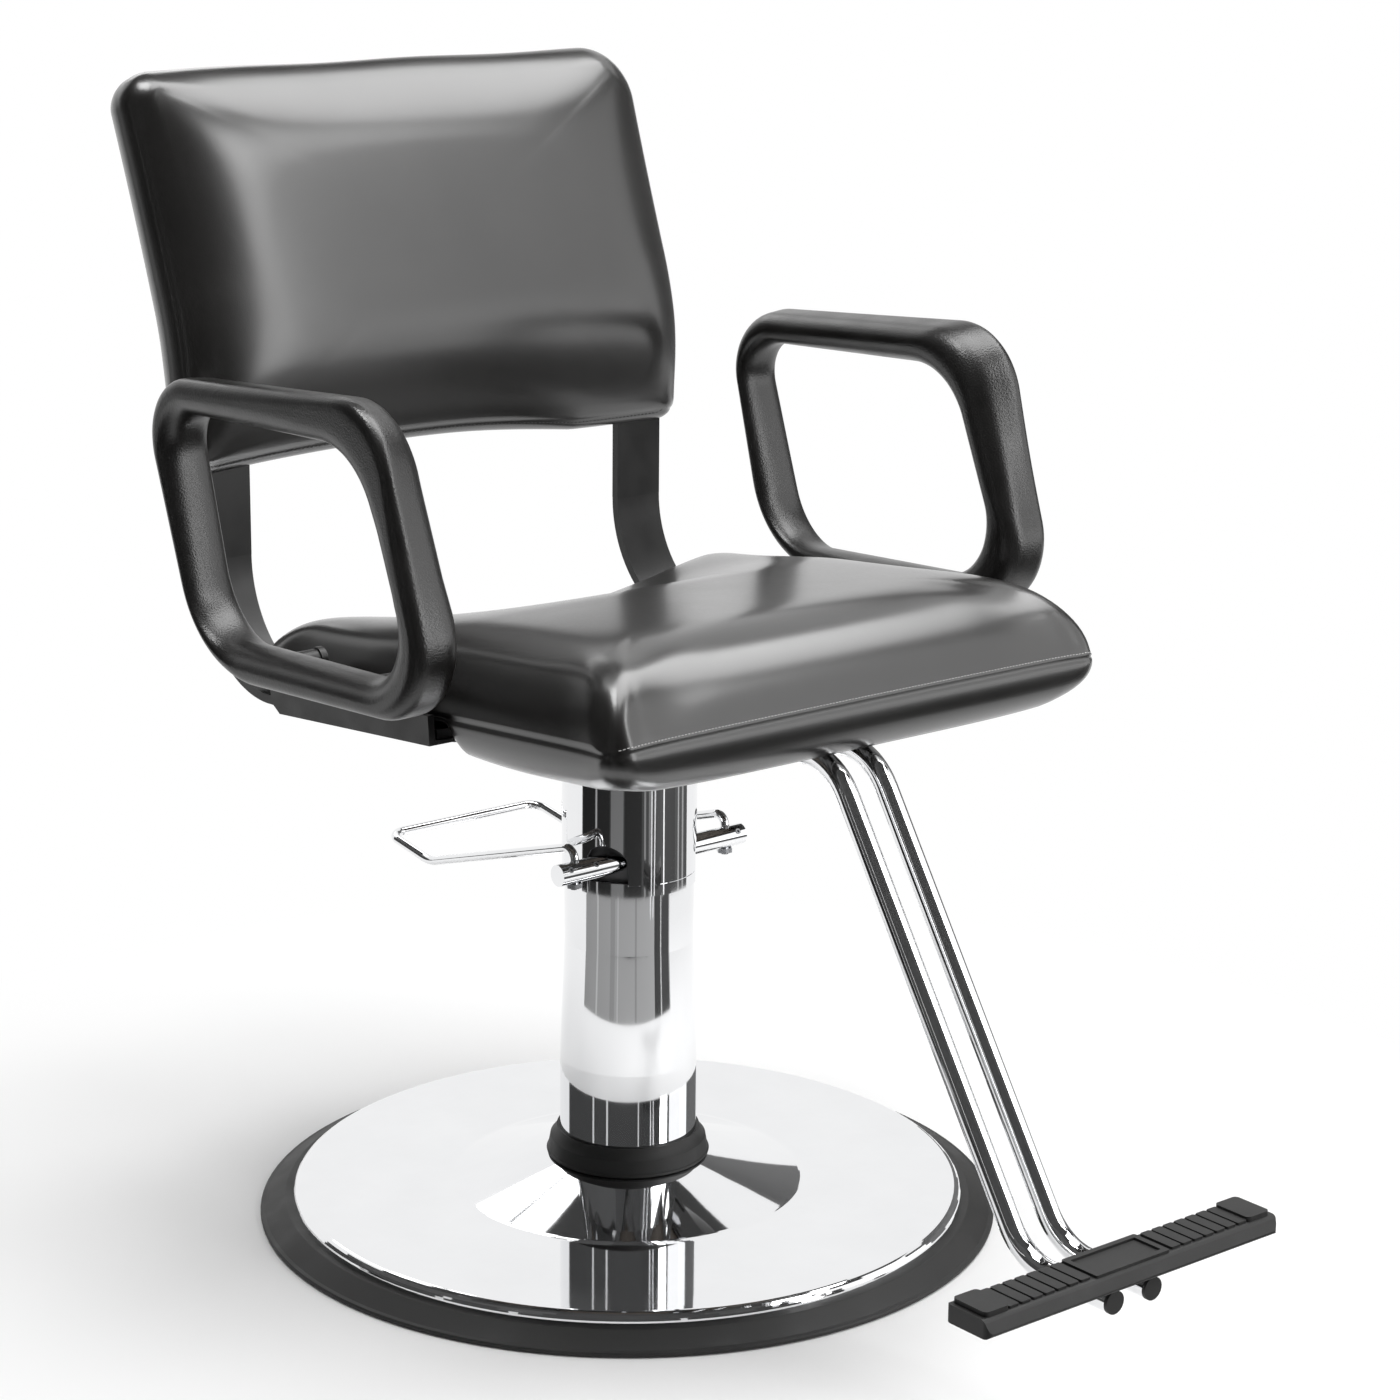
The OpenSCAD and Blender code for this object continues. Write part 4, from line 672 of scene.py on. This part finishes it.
# back pad: one slip cover over the bars, bent with them
back = {
    "barY": 0.285, "leanZ": 0.690, "lean": 20.0, "leanR": 0.320, "lowZ": 0.650, "length": 0.355, "halfW": 0.277,
    "cornerLeft": 0.055, "cornerRight": 0.030, "hemCorner": 0.020, "front": 0.0395, "least": 0.002, "swell": 0.004,
    "roundRun": 0.085, "belly": 0.06, "bellyRun": 0.17, "drawIn": 0.003, "grid": 121,
    "hemTaper": 0.004, "taperRun": 0.10, "hemArch": 0.009, "archMid": -0.05, "archSpan": 0.2, "hemSkew": 0.0045,
    "archFrom": 0.2, "archFade": 0.15, "rimSoft": 2.2, "edgeShares": [0.33, 0.67],
    "hemPinch": 0.22, "pinchRun": 0.11, "hemFold": 0.0012, "foldAt": 0.010, "foldRun": 0.002,
    "wave": 0.0007, "waveRate": 31, "wavePhase": 0.6, "waveFrom": 0.28, "waveRun": 0.07,
    "rearAt": [0, 0.002, 0.006, 0.014, 0.030, 0.060, 0.140, 0.300],
    "rearDepth": [0.012, 0.021, 0.0275, 0.032, 0.0355, 0.0375, 0.038, 0.038],
}


def onBack(x, s, n, b):
    # x across, s along the bars from the hem, n in front of them: upright, then an arc, then a straight lean
    rise = b["leanZ"] - b["lowZ"]
    lean = np.radians(b["lean"])
    a = np.clip((s - rise) / b["leanR"], 0, lean)
    past = np.maximum(0, s - rise - b["leanR"] * lean)
    low = np.minimum(s, rise)
    y = b["barY"] + b["leanR"] * (1 - np.cos(a)) + past * np.sin(lean)
    z = b["lowZ"] + low + b["leanR"] * np.sin(a) + past * np.cos(lean)
    return np.stack([x, y - n * np.cos(a), z + n * np.sin(a)], -1)


def backSurfaces(b):
    # front: a quarter circle up from the rim with a slow belly; rear: a smooth profile of the distance from the rim;
    # both pinch together at the hem, which arches up in the middle
    halfL = b["length"] / 2
    u, v = squareGrid(b["grid"])
    corner = np.where(v > 0, np.where(u > 0, b["cornerLeft"], b["cornerRight"]), b["hemCorner"])
    x, y = roundedPlan(u, v, b["halfW"], halfL, corner)
    inset = rimDistance(x, y, b["halfW"], halfL, corner, b["rimSoft"])
    px = x * (1 - b["drawIn"] / b["halfW"] * (1 - (y / halfL) ** 2))
    low = halfL + y
    px = px - b["hemTaper"] * easing((b["taperRun"] - low) / b["taperRun"]) * easing(x / b["halfW"])
    arch = b["hemArch"] * np.maximum(0, 1 - ((x - b["archMid"]) / b["archSpan"]) ** 2)
    arch = (arch - b["hemSkew"] * easing(x / b["archSpan"])) * easing((halfL - y - b["archFrom"]) / b["archFade"])
    wave = b["wave"] * np.sin(x * b["waveRate"] + b["wavePhase"]) * easing((low - b["waveFrom"]) / b["waveRun"])
    s = low + arch + wave
    share = np.sqrt(1 - (1 - np.clip(inset / b["roundRun"], 0, 1)) ** 2)
    share = share * (1 + b["belly"] * easing(inset / b["bellyRun"]))
    deep = smoothProfile(inset, b["rearAt"], b["rearDepth"])
    hemPinch = 1 - b["hemPinch"] * easing((b["pinchRun"] - low) / b["pinchRun"])
    hemFold = b["hemFold"] * np.exp(-((low - b["foldAt"]) / b["foldRun"]) ** 2)
    front = onBack(px, s, b["least"] + share * (b["front"] - b["least"]) * hemPinch - hemFold, b)
    rear = onBack(px, s, hemFold - deep * hemPinch, b)
    return front, rear


def makeBack(b):
    front, rear = backSurfaces(b)
    front = settled(front, b["swell"])
    edge = front.reshape(-1, 3)[capIndex(b["grid"])]
    edgeRear = rear.reshape(-1, 3)[capIndex(b["grid"])]
    sides = edge + (edgeRear - edge) * np.array(b["edgeShares"])[:, None, None]
    pad = padMesh("backPad", front, sides, rear, vinyl)
    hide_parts("back_cushion", "back_rear_pad")
    onChair(pad)
    return front, rear


backFront, backRear = makeBack(back)
print("back pad made")


# stitching: along the seat's front seam and along the back's hem
stitch = {"pitch": 0.0034, "length": 0.0027, "width": 0.0009, "height": 0.0004}
hemStitch = {"pitch": 0.0044, "length": 0.0034, "width": 0.0010, "height": 0.0004}


def rowOn(surface, row, cols):
    # path along one row of a grid, with the surface's outward direction at each point
    along = np.gradient(surface, axis=1)
    across = np.gradient(surface, axis=0)
    out = unit(np.cross(along, across))
    return surface[row, cols], out[row, cols]


hemRow, hemCols = 6, slice(8, back["grid"] - 8)
path, out = rowOn(fromSeat(seatTop, seat), 1, slice(3, seat["grid"] - 3))
onChair(stitchRow("seatFrontStitches", path, out, stitch, paleThread))
path, out = rowOn(backFront, hemRow, hemCols)
onChair(stitchRow("backHemStitches", path, out, hemStitch, thread))
path, out = rowOn(backRear, hemRow, hemCols)
onChair(stitchRow("backRearHemStitches", path, -out, hemStitch, thread))
print("stitches sewn")


# arm: moulded loop between an outline on the seat's side and one on the outer side, each as y and z
armLook = {
    "x": 0.2937, "width": 0.0471, "roundIn": 0.0181, "roundOut": 0.0134, "holeRoundIn": 0.023, "holeRoundOut": 0.019,
    "rimIn": [[-0.1950, 0.5304], [0.1695, 0.5116], [0.2330, 0.7515], [-0.0912, 0.7714]],
    "rimOut": [[-0.1848, 0.5304], [0.1530, 0.5094], [0.2488, 0.7530], [-0.1135, 0.7816]],
    "holeIn": [[-0.1460, 0.5562], [0.1566, 0.5422], [0.2115, 0.7257], [-0.0701, 0.7392]],
    "holeOut": [[-0.1645, 0.5512], [0.1520, 0.5357], [0.2138, 0.7252], [-0.0735, 0.7346]],
    "rimBends": [0.0615, 0.1090, 0.0522, 0.0703],
    "holeBends": [0.0560, 0.0644, 0.0360, 0.0780],
    "perBend": 24, "perSide": 16, "perEdge": 8, "fineShare": (0.60, 0.86), "fineSteps": 40,
    "lineZ": 0.586, "lineDepth": 0.0005, "lineRun": 0.0011, "legRear": -0.05, "legTop": 0.70,
}


def bentLoop(corners, bends, perBend, sides):
    # closed outline: straight sides joined by arcs that touch them, with the same steps on every loop
    p = np.asarray(corners, float)
    a, b = unit(np.roll(p, 1, 0) - p), unit(np.roll(p, -1, 0) - p)
    half = np.arccos(np.clip((a * b).sum(-1), -1, 1)) / 2
    r = np.asarray(bends, float)
    start, end = p + a * (r / np.tan(half))[:, None], p + b * (r / np.tan(half))[:, None]
    centre = p + unit(a + b) * (r / np.sin(half))[:, None]
    first, last = start - centre, end - centre
    sweep = np.pi - 2 * half
    t = np.linspace(0, 1, perBend)[None, :, None]
    turn = sweep[:, None, None]
    arc = (np.sin((1 - t) * turn) * first[:, None] + np.sin(t * turn) * last[:, None]) / np.sin(turn)
    arcs = centre[:, None] + arc
    ends = np.roll(start, -1, 0)
    straights = [end[k] + (ends[k] - end[k]) * sides[k][:, None] for k in range(4)]
    return np.concatenate([part for k in range(4) for part in (arcs[k], straights[k])])


def roundedSections(corners, radii, perEdge):
    # four-cornered sections with each corner eased by a cubic that leaves and meets its sides square on
    t = np.linspace(0, 1, perEdge)[:, None, None]
    most, handle = 0.47, 0.5523   # largest share of a side that a corner takes, and a round corner's handle length
    rows = []
    for k in range(4):
        c, before, after = corners[k], corners[k - 1], corners[(k + 1) % 4]
        toBefore, toAfter = before - c, after - c
        lenBefore, lenAfter = (np.linalg.norm(e, axis=-1, keepdims=True) for e in (toBefore, toAfter))
        start = c + toBefore * np.minimum(radii[k] / lenBefore, most)
        end = c + toAfter * np.minimum(radii[k] / lenAfter, most)
        near, far = start + (c - start) * handle, end + (c - end) * handle
        rows.append((1 - t) ** 3 * start + 3 * t * (1 - t) ** 2 * near + 3 * t ** 2 * (1 - t) * far + t ** 3 * end)
        nextStart = after + (c - after) * np.minimum(radii[(k + 1) % 4] / lenAfter, most)
        rows.append(end + (nextStart - end) * np.array([1 / 3, 2 / 3])[:, None, None])
    return np.concatenate(rows)


def makeArm(name, side, v):
    # sections between the two rims and the two edges of the hole, carried round the loop
    even = np.linspace(0, 1, v["perSide"] + 2)[1:-1]
    fine = np.unique(np.concatenate([even, np.linspace(*v["fineShare"], v["fineSteps"])]))
    sides = [even, even, even, fine]
    rim = [bentLoop(v[k], v["rimBends"], v["perBend"], sides) for k in ("rimIn", "rimOut")]
    hole = [bentLoop(v[k], v["holeBends"], v["perBend"], sides) for k in ("holeIn", "holeOut")]
    xs = [v["x"], v["x"] + v["width"]]
    loops = [rim[0], rim[1], hole[1], hole[0]]
    corners = [np.concatenate([np.full((len(q), 1), xs[k]), q], 1) for k, q in zip((0, 1, 1, 0), loops)]
    radii = [v["roundIn"], v["roundOut"], v["holeRoundOut"], v["holeRoundIn"]]
    section = roundedSections(corners, radii, v["perEdge"])
    middle = section.mean(0, keepdims=True)
    # shallow moulding line across the front leg
    onFront = (middle[..., 1] < v["legRear"]) & (middle[..., 2] < v["legTop"])
    line = v["lineDepth"] * np.exp(-((section[..., 2] - v["lineZ"]) / v["lineRun"]) ** 2) * onFront
    section = section + unit(middle - section) * line[..., None]
    section[..., 0] *= side
    faces = gridFaces(section.shape[0], section.shape[1], True, True)
    return meshObject(name, section, faces if side > 0 else faces[:, ::-1], urethane)


for armName, node, side in (("leftArmLoop", "left_arm", 1), ("rightArmLoop", "right_arm", -1)):
    loop = makeArm(armName, side, armLook)
    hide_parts(node)
    onChair(loop)
print("arms made")


# plunger's return spring: a round wire on a helix about the plunger, at its full length on the column
springLook = {"turns": 6, "wire": 0.0007, "perTurn": 24, "sides": 8, "stroke": 0.0078}


def makeSpring(v):
    # at turn angle a and wire angle k a point lies at the coil's radius plus w cos k from the axis,
    # and at a height that climbs evenly with a, plus w sin k
    low, high = np.array(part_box("plunger_spring"))
    middle, coil = (low + high) / 2, (high[0] - low[0]) / 2 - v["wire"]
    a = np.linspace(0, 2 * np.pi * v["turns"], v["turns"] * v["perTurn"] + 1)[:, None]
    k = np.linspace(0, 2 * np.pi, v["sides"], endpoint=False)[None]
    reach = coil + v["wire"] * np.cos(k)
    climb = low[2] + v["wire"] + (high[2] - low[2] - 2 * v["wire"]) * a / a[-1]
    x, y, z = middle[0] + reach * np.cos(a), middle[1] + reach * np.sin(a), climb + v["wire"] * np.sin(k)
    first = np.arange(v["sides"])
    faces = gridFaces(len(a), v["sides"], wrapCols=True)[:, ::-1].tolist()
    ends = [first.tolist(), (first + v["sides"] * (len(a) - 1))[::-1].tolist()]
    spring = meshObject("plungerSpring", np.stack([x, y, z], -1), faces + ends, finishOf["steel"])
    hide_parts("plunger_spring")
    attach(spring, "column")
    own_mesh(spring)


makeSpring(springLook)
print("spring made")


# studio: pale floor that fades into a white surround, broad soft lamps, dark cards on the camera's side
studio = {
    "floor": 0.91, "floorHalf": 6.0, "floorDrop": 0.0005, "ambient": 0.26, "backdrop": 1.0,
    "fadeFrom": 0.40, "fadeTo": 0.88, "matHeight": 0.001, "streakHeight": 0.0015,
    # upright cards: azimuths in degrees, radius, top, tone
    "cards": {
        "frontCard": ((-152, 33), 3.6, 1.75, 0.075), "rightCard": ((58, 126), 3.6, 2.4, 0.22),
        "slatFar": ((-100, -97), 3.5, 1.75, 0.85), "slatLeft": ((-75, -72), 3.5, 1.75, 0.85),
        "slatRight": ((-22, -20), 3.5, 1.75, 0.85),
    },
    # parts of a dome: azimuths, angles above the floor, radius, tone
    "domes": {
        "cameraCard": ((-66, -8), (24, 74), 3.8, 0.075), "frontShell": ((-156, 62), (17, 58), 4.2, 0.12),
        "rearShell": ((62, 240), (47, 58), 4.2, 0.075), "gapCard": ((58, 94), (32, 48), 3.9, 0.075),
        "ceiling": ((-180, 180), (57, 90), 4.3, 0.075),
    },
    # two rings on the floor by their radii, that only mirrors show: mats (ring, azimuths, tone) and, over them,
    # streaks (first and last azimuth, tone)
    "rings": {"inner": (0.70, 0.98), "outer": (0.98, 3.6)},
    "mats": {"greyMat": ("inner", (-118, 36), 0.30), "darkMat": ("outer", (-124, 74), 0.05)},
    "streaks": {
        "outer": [(-122, -98, 0.012), (-97, -94, 0.35), (-93, -71, 0.015), (-69, -48, 0.15), (-46, -18, 0.02),
                  (-14, -11, 0.2), (-6, -2, 0.16), (3, 5, 0.3), (20, 22, 0.9), (23, 44, 0.03), (50, 53, 0.3),
                  (60, 64, 0.25)],
        "inner": [(-95, -92, 0.45), (-70, -62, 0.24), (-58, -56, 0.4), (-28, -25, 0.22), (6, 34, 0.03),
                  (17, 19, 0.9)],
    },
    # lamps: place, point aimed at, width and height, watts
    "lamps": {
        "overheadSoftbox": ((0.75, -0.1, 2.95), (0, -0.1, 0.8), (1.5, 2.5), 68),
        "rightSoftbox": ((2.49, -1.68, 1.55), (0, 0, 1.0), (2.4, 2.9), 27),
        "stripSoftbox": ((1.10, -2.55, 1.65), (0, 0, 0.9), (0.7, 3.0), 34),
        "leftSoftbox": ((-0.70, 0.25, 2.75), (-0.2, -0.2, 0.6), (0.8, 0.7), 20),
        "keySoftbox": ((1.12, -1.44, 2.57), (0, 0.1, 0.8), (1.1, 0.5), 9),
        "rearSoftbox": ((0.56, 2.23, 2.12), (0, 0, 0.55), (1.3, 0.9), 6),
    },
}


def seenWhite(tree):
    # one for camera, glossy and transmission rays, zero for the rays that light the object
    path = tree.nodes.new("ShaderNodeLightPath")
    value = path.outputs["Is Camera Ray"]
    for other in ("Is Glossy Ray", "Is Transmission Ray"):
        node = tree.nodes.new("ShaderNodeMath")
        node.operation = "MAXIMUM"
        tree.links.new(value, node.inputs[0])
        tree.links.new(path.outputs[other], node.inputs[1])
        value = node.outputs["Value"]
    return value


def makeWorld(v):
    # a weak white sky that lights the object, seen as plain white
    world = bpy.data.worlds.new("studioWorld")
    world.use_nodes = True
    tree = world.node_tree
    light = tree.nodes["Background"]
    light.inputs["Color"].default_value = (1, 1, 1, 1)
    light.inputs["Strength"].default_value = v["ambient"]
    seen = tree.nodes.new("ShaderNodeBackground")
    seen.inputs["Color"].default_value = (1, 1, 1, 1)
    seen.inputs["Strength"].default_value = v["backdrop"]
    mix = tree.nodes.new("ShaderNodeMixShader")
    tree.links.new(seenWhite(tree), mix.inputs["Fac"])
    tree.links.new(light.outputs["Background"], mix.inputs[1])
    tree.links.new(seen.outputs["Background"], mix.inputs[2])
    tree.links.new(mix.outputs["Shader"], tree.nodes["World Output"].inputs["Surface"])
    bpy.context.scene.world = world


def plainTone(name, tone):
    # matt grey of one tone
    mat = bpy.data.materials.new(name)
    mat.use_nodes = True
    shader = mat.node_tree.nodes["Principled BSDF"]
    shader.inputs["Base Color"].default_value = (tone, tone, tone, 1)
    shader.inputs["Roughness"].default_value = 0.8
    shader.inputs["Specular IOR Level"].default_value = 0.1
    return mat


def makeFloor(v):
    # matt near the object, so that its shadow stays, and as white as the surround further out
    mat = plainTone("paleFloor", v["floor"])
    tree = mat.node_tree
    coord = tree.nodes.new("ShaderNodeTexCoord")
    length = tree.nodes.new("ShaderNodeVectorMath")
    length.operation = "LENGTH"
    tree.links.new(coord.outputs["Object"], length.inputs[0])
    fade = rangeOf(tree, length.outputs["Value"], v["fadeFrom"], v["fadeTo"], 0.0, 1.0)
    share = tree.nodes.new("ShaderNodeMath")
    share.operation = "MULTIPLY"
    tree.links.new(fade, share.inputs[0])
    tree.links.new(seenWhite(tree), share.inputs[1])
    glow = tree.nodes.new("ShaderNodeEmission")
    glow.inputs["Strength"].default_value = v["backdrop"]
    mix = tree.nodes.new("ShaderNodeMixShader")
    tree.links.new(share.outputs["Value"], mix.inputs["Fac"])
    tree.links.new(tree.nodes["Principled BSDF"].outputs["BSDF"], mix.inputs[1])
    tree.links.new(glow.outputs["Emission"], mix.inputs[2])
    tree.links.new(mix.outputs["Shader"], tree.nodes["Material Output"].inputs["Surface"])
    t = np.linspace(-v["floorHalf"], v["floorHalf"], 3)
    x, y = np.meshgrid(t, t)
    meshObject("floorSheet", np.stack([x, y, 0 * x - v["floorDrop"]], -1), gridFaces(3, 3), mat)


def aroundChair(name, azimuths, radii, heights, tone):
    # strip turned about the chair's axis through rows of radii and heights;
    # azimuth is in degrees from the front, towards the chair's left
    steps = 60
    a = np.radians(np.linspace(*azimuths, steps))[None]
    r = np.asarray(radii, float)[:, None]
    points = np.stack([r * np.sin(a), -r * np.cos(a), np.asarray(heights, float)[:, None] + 0 * a], -1)
    card = meshObject(name, points, gridFaces(len(radii), steps), plainTone(name + "Tone", tone))
    card.visible_camera = False
    card.visible_shadow = False
    card.visible_diffuse = False


def areaLamp(name, place, aim, size, power):
    # rectangle of light whose own -z looks from its place to the point aimed at, with its x kept level
    data = bpy.data.lights.new(name, "AREA")
    data.shape = "RECTANGLE"
    data.size, data.size_y = size
    data.energy = power
    lamp = bpy.data.objects.new(name, data)
    bpy.context.scene.collection.objects.link(lamp)
    ahead = unit(np.array(aim, float) - np.array(place, float))
    right = unit(np.cross(ahead, [0, 0, 1]))
    pose = np.eye(4)
    pose[:3, 0], pose[:3, 1], pose[:3, 2], pose[:3, 3] = right, np.cross(right, ahead), -ahead, place
    lamp.matrix_world = Matrix(pose.tolist())


def makeStudio(v):
    # a dome's row at the angle e above the floor has the radius R cos e and the height R sin e
    makeWorld(v)
    makeFloor(v)
    for name, (azimuths, radius, top, tone) in v["cards"].items():
        aroundChair(name, azimuths, (radius, radius), (0.0, top), tone)
    for name, (azimuths, angles, radius, tone) in v["domes"].items():
        rise = np.radians(np.linspace(*angles, 16))
        aroundChair(name, azimuths, radius * np.cos(rise), radius * np.sin(rise), tone)
    for name, (ring, azimuths, tone) in v["mats"].items():
        aroundChair(name, azimuths, v["rings"][ring], [v["matHeight"]] * 2, tone)
    for ring, streaks in v["streaks"].items():
        for k, (start, end, tone) in enumerate(streaks):
            aroundChair("%sStreak%d" % (ring, k), (start, end), v["rings"][ring], [v["streakHeight"]] * 2, tone)
    for name, lamp in v["lamps"].items():
        areaLamp(name, *lamp)


makeStudio(studio)
bpy.context.scene.view_settings.view_transform = "Standard"
print("studio lit")
